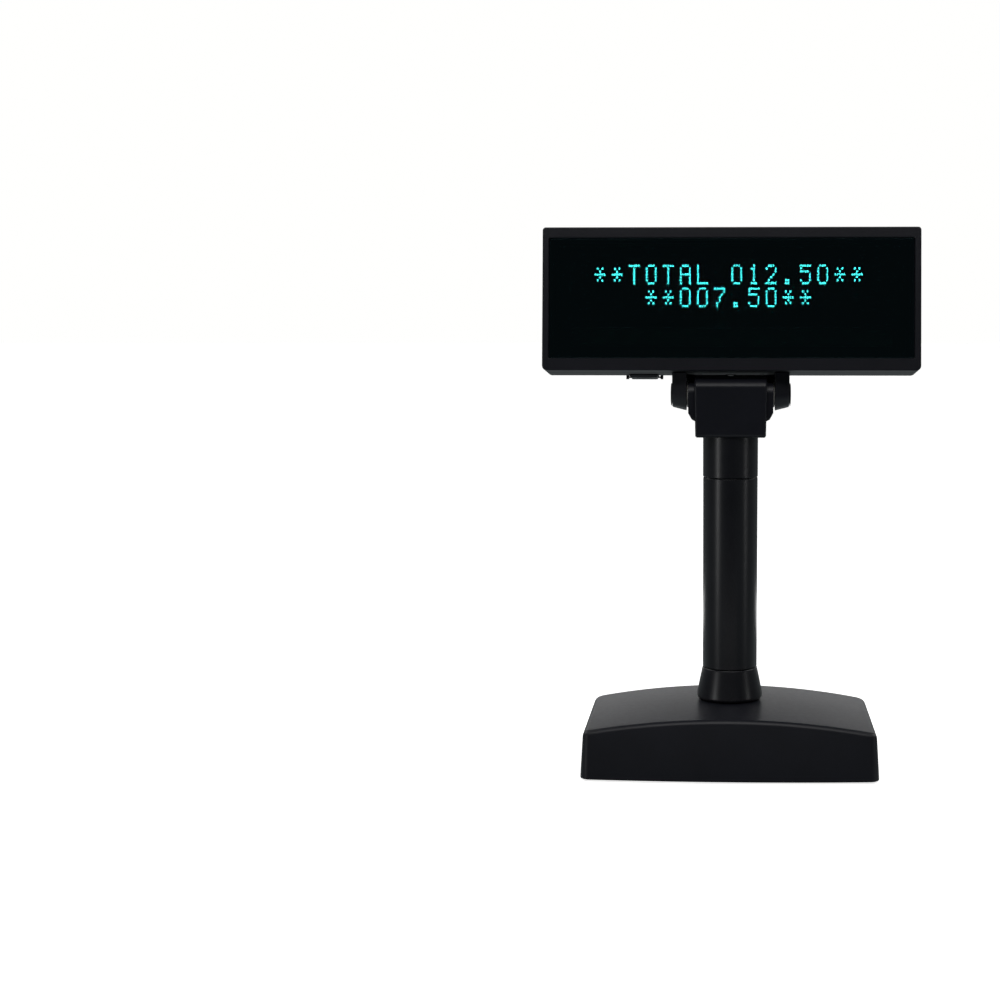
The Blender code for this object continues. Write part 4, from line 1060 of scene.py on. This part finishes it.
def bracket_shape():
    """The hinge bracket: a plate inside the head's floor, with a tapered, soft-edged ear down each side."""
    low = HEAD_LOW.z + HEAD_WALL + GAP
    plate = block(-EAR_OUT, EAR_OUT, EAR_FRONT, EAR_R, low, low + 2.2)
    ears = []
    for side in (-1, 1):
        steps = 5
        layers = [(ear_outline(EAR_R, low + 1), side * EAR_IN)]
        for k, angle in enumerate(quarter(steps)):
            flare = (EAR_R - EAR_TIP_R) * 0.12 * (1 - k / steps)
            radius = EAR_TIP_R + flare - EAR_ROUND * (1 - math.cos(angle))
            out = EAR_OUT - EAR_ROUND + EAR_ROUND * math.sin(angle)
            layers.append((ear_outline(radius, low + 1), side * out))
        if side < 0:
            layers.reverse()
        ears.append(stack(layers, "X"))
    drills = [
        rod(AXLE_R + GAP, -40, 40, 40, "X"),
        rod(CABLE_HOLE_R, low - 2, low + 5, 32, centre=(0, CABLE_HOLE_Y)),
        rod(4.3, -40, -28.2, 40, "X"),
        rod(4.7, 28.2, 40, 40, "X"),
    ]
    for x in (-BRACKET_SCREW_X, BRACKET_SCREW_X):
        drills.append(rod(SCREW_HOLE_R, low - 2, low + 5, 24, centre=(x, BRACKET_SCREW_Y)))
    return cut(join(plate, *ears), *drills)


def cap_shape(node):
    """The shallow dome over the end of the axle."""
    low, high = local_box(node, HEAD)
    radius = (high.y - low.y) / 2
    side = 1 if high.x > 0 else -1
    near, far = (low.x, high.x) if side > 0 else (-high.x, -low.x)
    profile = []
    for angle in quarter(8, 1):
        profile.append((radius * math.sin(angle), near + 0.1 + (far - near - 0.1) * math.cos(angle) ** 0.6))
    profile[-1] = (radius, near + 0.15)
    profile.append((radius, near))
    profile = [(r, x * side) for r, x in profile]
    if side < 0:
        profile.reverse()
    return turned(profile, 64, "X", ring=False)


def window_shape():
    low, high = WINDOW_LOW, WINDOW_HIGH
    edge = 0.3
    outline = filleted(face_outline(low, high), 0.6, 4)
    inner = filleted(face_outline(low, high, -edge), 0.6, 4)
    return stack([(inner, low.y), (outline, low.y + edge), (outline, high.y)], "Y")


def hatch_shape():
    """The switch hatch: a lid with sloped ends, three fine finger grooves and the bore of its pin."""
    low, high = local_box("switch_hatch", HEAD)
    _, axis_y, axis_z = box_middle("hatch_pin", HEAD)
    side = [
        (low.y + 0.9, low.z),
        (axis_y + 1.15, low.z),
        (axis_y + 1.15, axis_z - 0.1),
        (axis_y + 0.7, high.z),
        (low.y, high.z),
    ]
    lid = prism(filleted(side, 0.35, 3), low.x, high.x, "X")
    slope, top = 1.6, high.z + 0.5
    front = [(top, low.x - 0.2), (top, high.x + 0.2), (low.z, high.x - slope), (low.z, low.x + slope)]
    lid = keep(lid, prism(front, low.y - 1, high.y + 1, "Y"))
    grooves = []
    for k in range(3):
        y = low.y + 2.2 + k * 1.1
        grooves.append(rod(0.28, low.x + 4.5, high.x - 4.5, 16, "X", (y, low.z)))
    hole = rod(0.7, low.x - 1, high.x + 1, 24, "X", (axis_y, axis_z))
    return cut(lid, hole, *grooves)


def make_head(paint):
    piece("bezel_frame", bezel_shape(), paint, HEAD, "head", "black_abs", ["front_bezel"])
    piece("back_cover", rear_cover_shape(), paint, HEAD, "head", "black_abs", ["rear_cover"])
    piece("hinge_bracket", bracket_shape(), paint, HEAD, "head", "black_abs", ["tilt_bracket"])
    for side in ("left", "right"):
        node = f"hinge_cap_{side}"
        piece(f"axle_{node}", cap_shape(node), paint, HEAD, "head", "black_abs", [node])
    piece("filter_window", window_shape(), paint, HEAD, "head", "smoked_acrylic", ["display_window"])
    piece("hatch_lid", hatch_shape(), paint, HEAD, "hatch", "black_abs", ["switch_hatch"])


# ---- characters

def dots(lit):
    """The centres of the lit or the unlit dots, as (x, z), over both lines."""
    places = []
    for line, text in enumerate((FIRST_LINE, SECOND_LINE)):
        z = TEXT_Z + (0.5 - line) * LINE_PITCH
        for x, letter in zip(spaced(COLUMNS, CHARACTER_PITCH, TEXT_X), text.center(COLUMNS)):
            for row, pattern in enumerate(GLYPHS[letter]):
                for across, mark in enumerate(pattern):
                    if (mark == "#") == lit:
                        places.append((x + (across - 2) * DOT_PITCH_X, z + (3 - row) * DOT_PITCH_Z))
    return places


def dots_shape(lit, rise):
    """Thin printed rectangles with clipped corners on the front of the anode plate."""
    face = local_box("vfd_anode_plate", HEAD)[0].y
    clip = 0.2
    w, h = DOT_WIDTH / 2, DOT_HEIGHT / 2
    shapes = []
    for x, z in dots(lit):
        outline = filleted(rectangle(z - h, z + h, x - w, x + w), clip, 1)
        shapes.append(prism(outline, face - rise, face - 0.005, "Y"))
    return merged(shapes)


def filaments_shape():
    """The fine heater wires stretched across the tube in front of the characters."""
    low, high = local_box("vfd_spacer", HEAD)
    y = low.y + 0.6
    wires = []
    for z in (TEXT_Z - 11, TEXT_Z, TEXT_Z + 11):
        wires.append(rod(0.03, low.x + 4.2, high.x - 4.2, 8, "X", (y, z)))
    return merged(wires)


def make_characters(paint):
    piece("lit_dots", dots_shape(True, 0.06), paint, HEAD, "head", "phosphor_glow")
    piece("unlit_dots", dots_shape(False, 0.05), paint, HEAD, "head", "anode_glass", look="phosphor_dark")
    piece("heater_wires", filaments_shape(), paint, HEAD, "head", "screw_steel")


# ---- stage

def make_stage():
    """A pale floor, which lights the object only through the world's own lower half."""
    bpy.ops.mesh.primitive_plane_add(size=40.0, location=(0, 0, 0))
    floor = bpy.context.object
    floor.name = "floor"
    material, _, shader = new_material("pale_floor")
    shader.inputs["Base Color"].default_value = (0.92, 0.92, 0.91, 1.0)
    shader.inputs["Roughness"].default_value = 0.9
    shader.inputs["Specular IOR Level"].default_value = 0.0
    shader.inputs["Emission Color"].default_value = (1.0, 1.0, 0.99, 1.0)
    shader.inputs["Emission Strength"].default_value = 0.80
    floor.data.materials.append(material)
    floor.visible_glossy = False
    floor.visible_diffuse = False


def value_node(tree, operation, one, other):
    """Adds or multiplies a node's value and another value or plain number."""
    node = tree.nodes.new("ShaderNodeMath")
    node.operation = operation
    tree.links.new(one, node.inputs[0])
    if isinstance(other, float):
        node.inputs[1].default_value = other
    else:
        tree.links.new(other, node.inputs[1])
    return node.outputs["Value"]


def world_strength(tree):
    """How bright the world is to the object, by direction: a dim room over a pale floor."""
    coordinates = tree.nodes.new("ShaderNodeTexCoord")
    split = tree.nodes.new("ShaderNodeSeparateXYZ")
    tree.links.new(coordinates.outputs["Generated"], split.inputs["Vector"])
    across, along, up = (split.outputs[axis] for axis in "XYZ")
    behind = ramp(tree, along, -0.10, 0.60, 0.0, 1.0)
    floor_behind = value_node(tree, "MULTIPLY", ramp(tree, up, -0.20, -0.09, 1.0, 0.0), behind)
    room_behind = value_node(tree, "MULTIPLY", ramp(tree, up, 0.0, 0.16, 1.0, 0.25), behind)
    beside = ramp(tree, value_node(tree, "ABSOLUTE", across, 0.0), 0.25, 0.62, 0.0, 1.0)
    floor_beside = ramp(tree, up, -0.30, -0.13, FLOOR_BESIDE, 0.0)
    room_beside = ramp(tree, up, 0.0, 0.5, ROOM_BESIDE, 0.0)
    strength = value_node(tree, "MULTIPLY", value_node(tree, "ADD", floor_beside, room_beside), beside)
    others = (
        ROOM,
        ramp(tree, up, -0.75, -0.32, FLOOR_BELOW, 0.0),
        value_node(tree, "MULTIPLY", room_behind, ROOM_BEHIND),
        value_node(tree, "MULTIPLY", floor_behind, FLOOR_BEHIND),
    )
    for other in others:
        strength = value_node(tree, "ADD", strength, other)
    return strength


def make_world():
    """White to the camera, and to the object a dim room over a pale floor."""
    world = bpy.data.worlds.new("studio")
    bpy.context.scene.world = world
    world.use_nodes = True
    tree = world.node_tree
    tree.nodes.clear()
    glow = tree.nodes.new("ShaderNodeBackground")
    glow.inputs["Color"].default_value = (0.86, 0.97, 1.0, 1.0)
    tree.links.new(world_strength(tree), glow.inputs["Strength"])
    white = tree.nodes.new("ShaderNodeBackground")
    white.inputs["Color"].default_value = (1.0, 1.0, 0.99, 1.0)
    path = tree.nodes.new("ShaderNodeLightPath")
    mix = tree.nodes.new("ShaderNodeMixShader")
    output = tree.nodes.new("ShaderNodeOutputWorld")
    tree.links.new(path.outputs["Is Camera Ray"], mix.inputs["Fac"])
    tree.links.new(glow.outputs["Background"], mix.inputs[1])
    tree.links.new(white.outputs["Background"], mix.inputs[2])
    tree.links.new(mix.outputs["Shader"], output.inputs["Surface"])


def softbox(name, target, azimuth, elevation, distance, size, height, power):
    """An area light that faces a point; azimuth 0 is straight in front, positive to the right."""
    target = Vector(target)
    turn, rise = math.radians(azimuth), math.radians(elevation)
    away = Vector((math.sin(turn) * math.cos(rise), -math.cos(turn) * math.cos(rise), math.sin(rise)))
    light = bpy.data.lights.new(name, "AREA")
    light.shape = "RECTANGLE"
    light.size, light.size_y = size, height
    light.energy = power
    item = bpy.data.objects.new(name, light)
    item.location = target + away * distance
    item.rotation_euler = (-away).to_track_quat("-Z", "Y").to_euler()
    item.visible_camera = False
    bpy.context.scene.collection.objects.link(item)


def make_lights():
    """Low softboxes for the pole, large ones for the rear, a strip for the base's top, and soft fill."""
    middle = (0.0, 0.0, 0.055)
    softbox("left_softbox", middle, -54, 0, 1.2, 0.16, 0.25, 1.6)
    softbox("right_softbox", middle, 68, 0, 1.2, 0.12, 0.25, 0.55)
    softbox("rear_strip", (0.0, 0.045, 0.034), 180, 11, 0.11, 0.30, 0.022, 0.042)
    for side, away in (("left", -1), ("right", 1)):
        softbox("rear_softbox_" + side, middle, 114 * away, 36, 1.2, 0.90, 0.80, 4.0)
    softbox("edge_light", (0.0, -0.04, 0.03), 0, 58, 0.7, 0.9, 0.12, 0.9)
    softbox("table_bounce", (0.0, -0.045, 0.018), 0, 0, 0.22, 0.30, 0.03, 0.026)
    light = bpy.data.lights.new("even_light", "SUN")
    light.energy = 0.9
    light.angle = math.radians(50)
    item = bpy.data.objects.new("even_light", light)
    item.rotation_euler = (math.radians(30), 0.0, 0.0)
    bpy.context.scene.collection.objects.link(item)


def make_camera():
    """In front of the pole and above the hinge, looking slightly down; the object is right of the middle."""
    camera_data = bpy.data.cameras.new("camera")
    camera = bpy.data.objects.new("camera", camera_data)
    bpy.context.scene.collection.objects.link(camera)
    bpy.context.scene.camera = camera
    camera.location = (0.0, HINGE.y - CAMERA_DISTANCE, CAMERA_HEIGHT)
    camera.rotation_euler = (math.radians(90 - CAMERA_DOWN), 0.0, math.radians(CAMERA_TURN))
    camera_data.lens = LENS
    camera_data.sensor_width = SENSOR
    camera_data.shift_x = CAMERA_SHIFT
    camera_data.clip_start = 0.01


def make_all():
    make_camera()
    paint = make_materials()
    paint_cad_nodes(paint)
    make_base(paint)
    make_screws(paint)
    make_pole(paint)
    make_neck(paint)
    make_head(paint)
    make_characters(paint)
    make_stage()
    make_world()
    make_lights()
    bpy.context.scene.view_settings.view_transform = "Standard"


make_all()
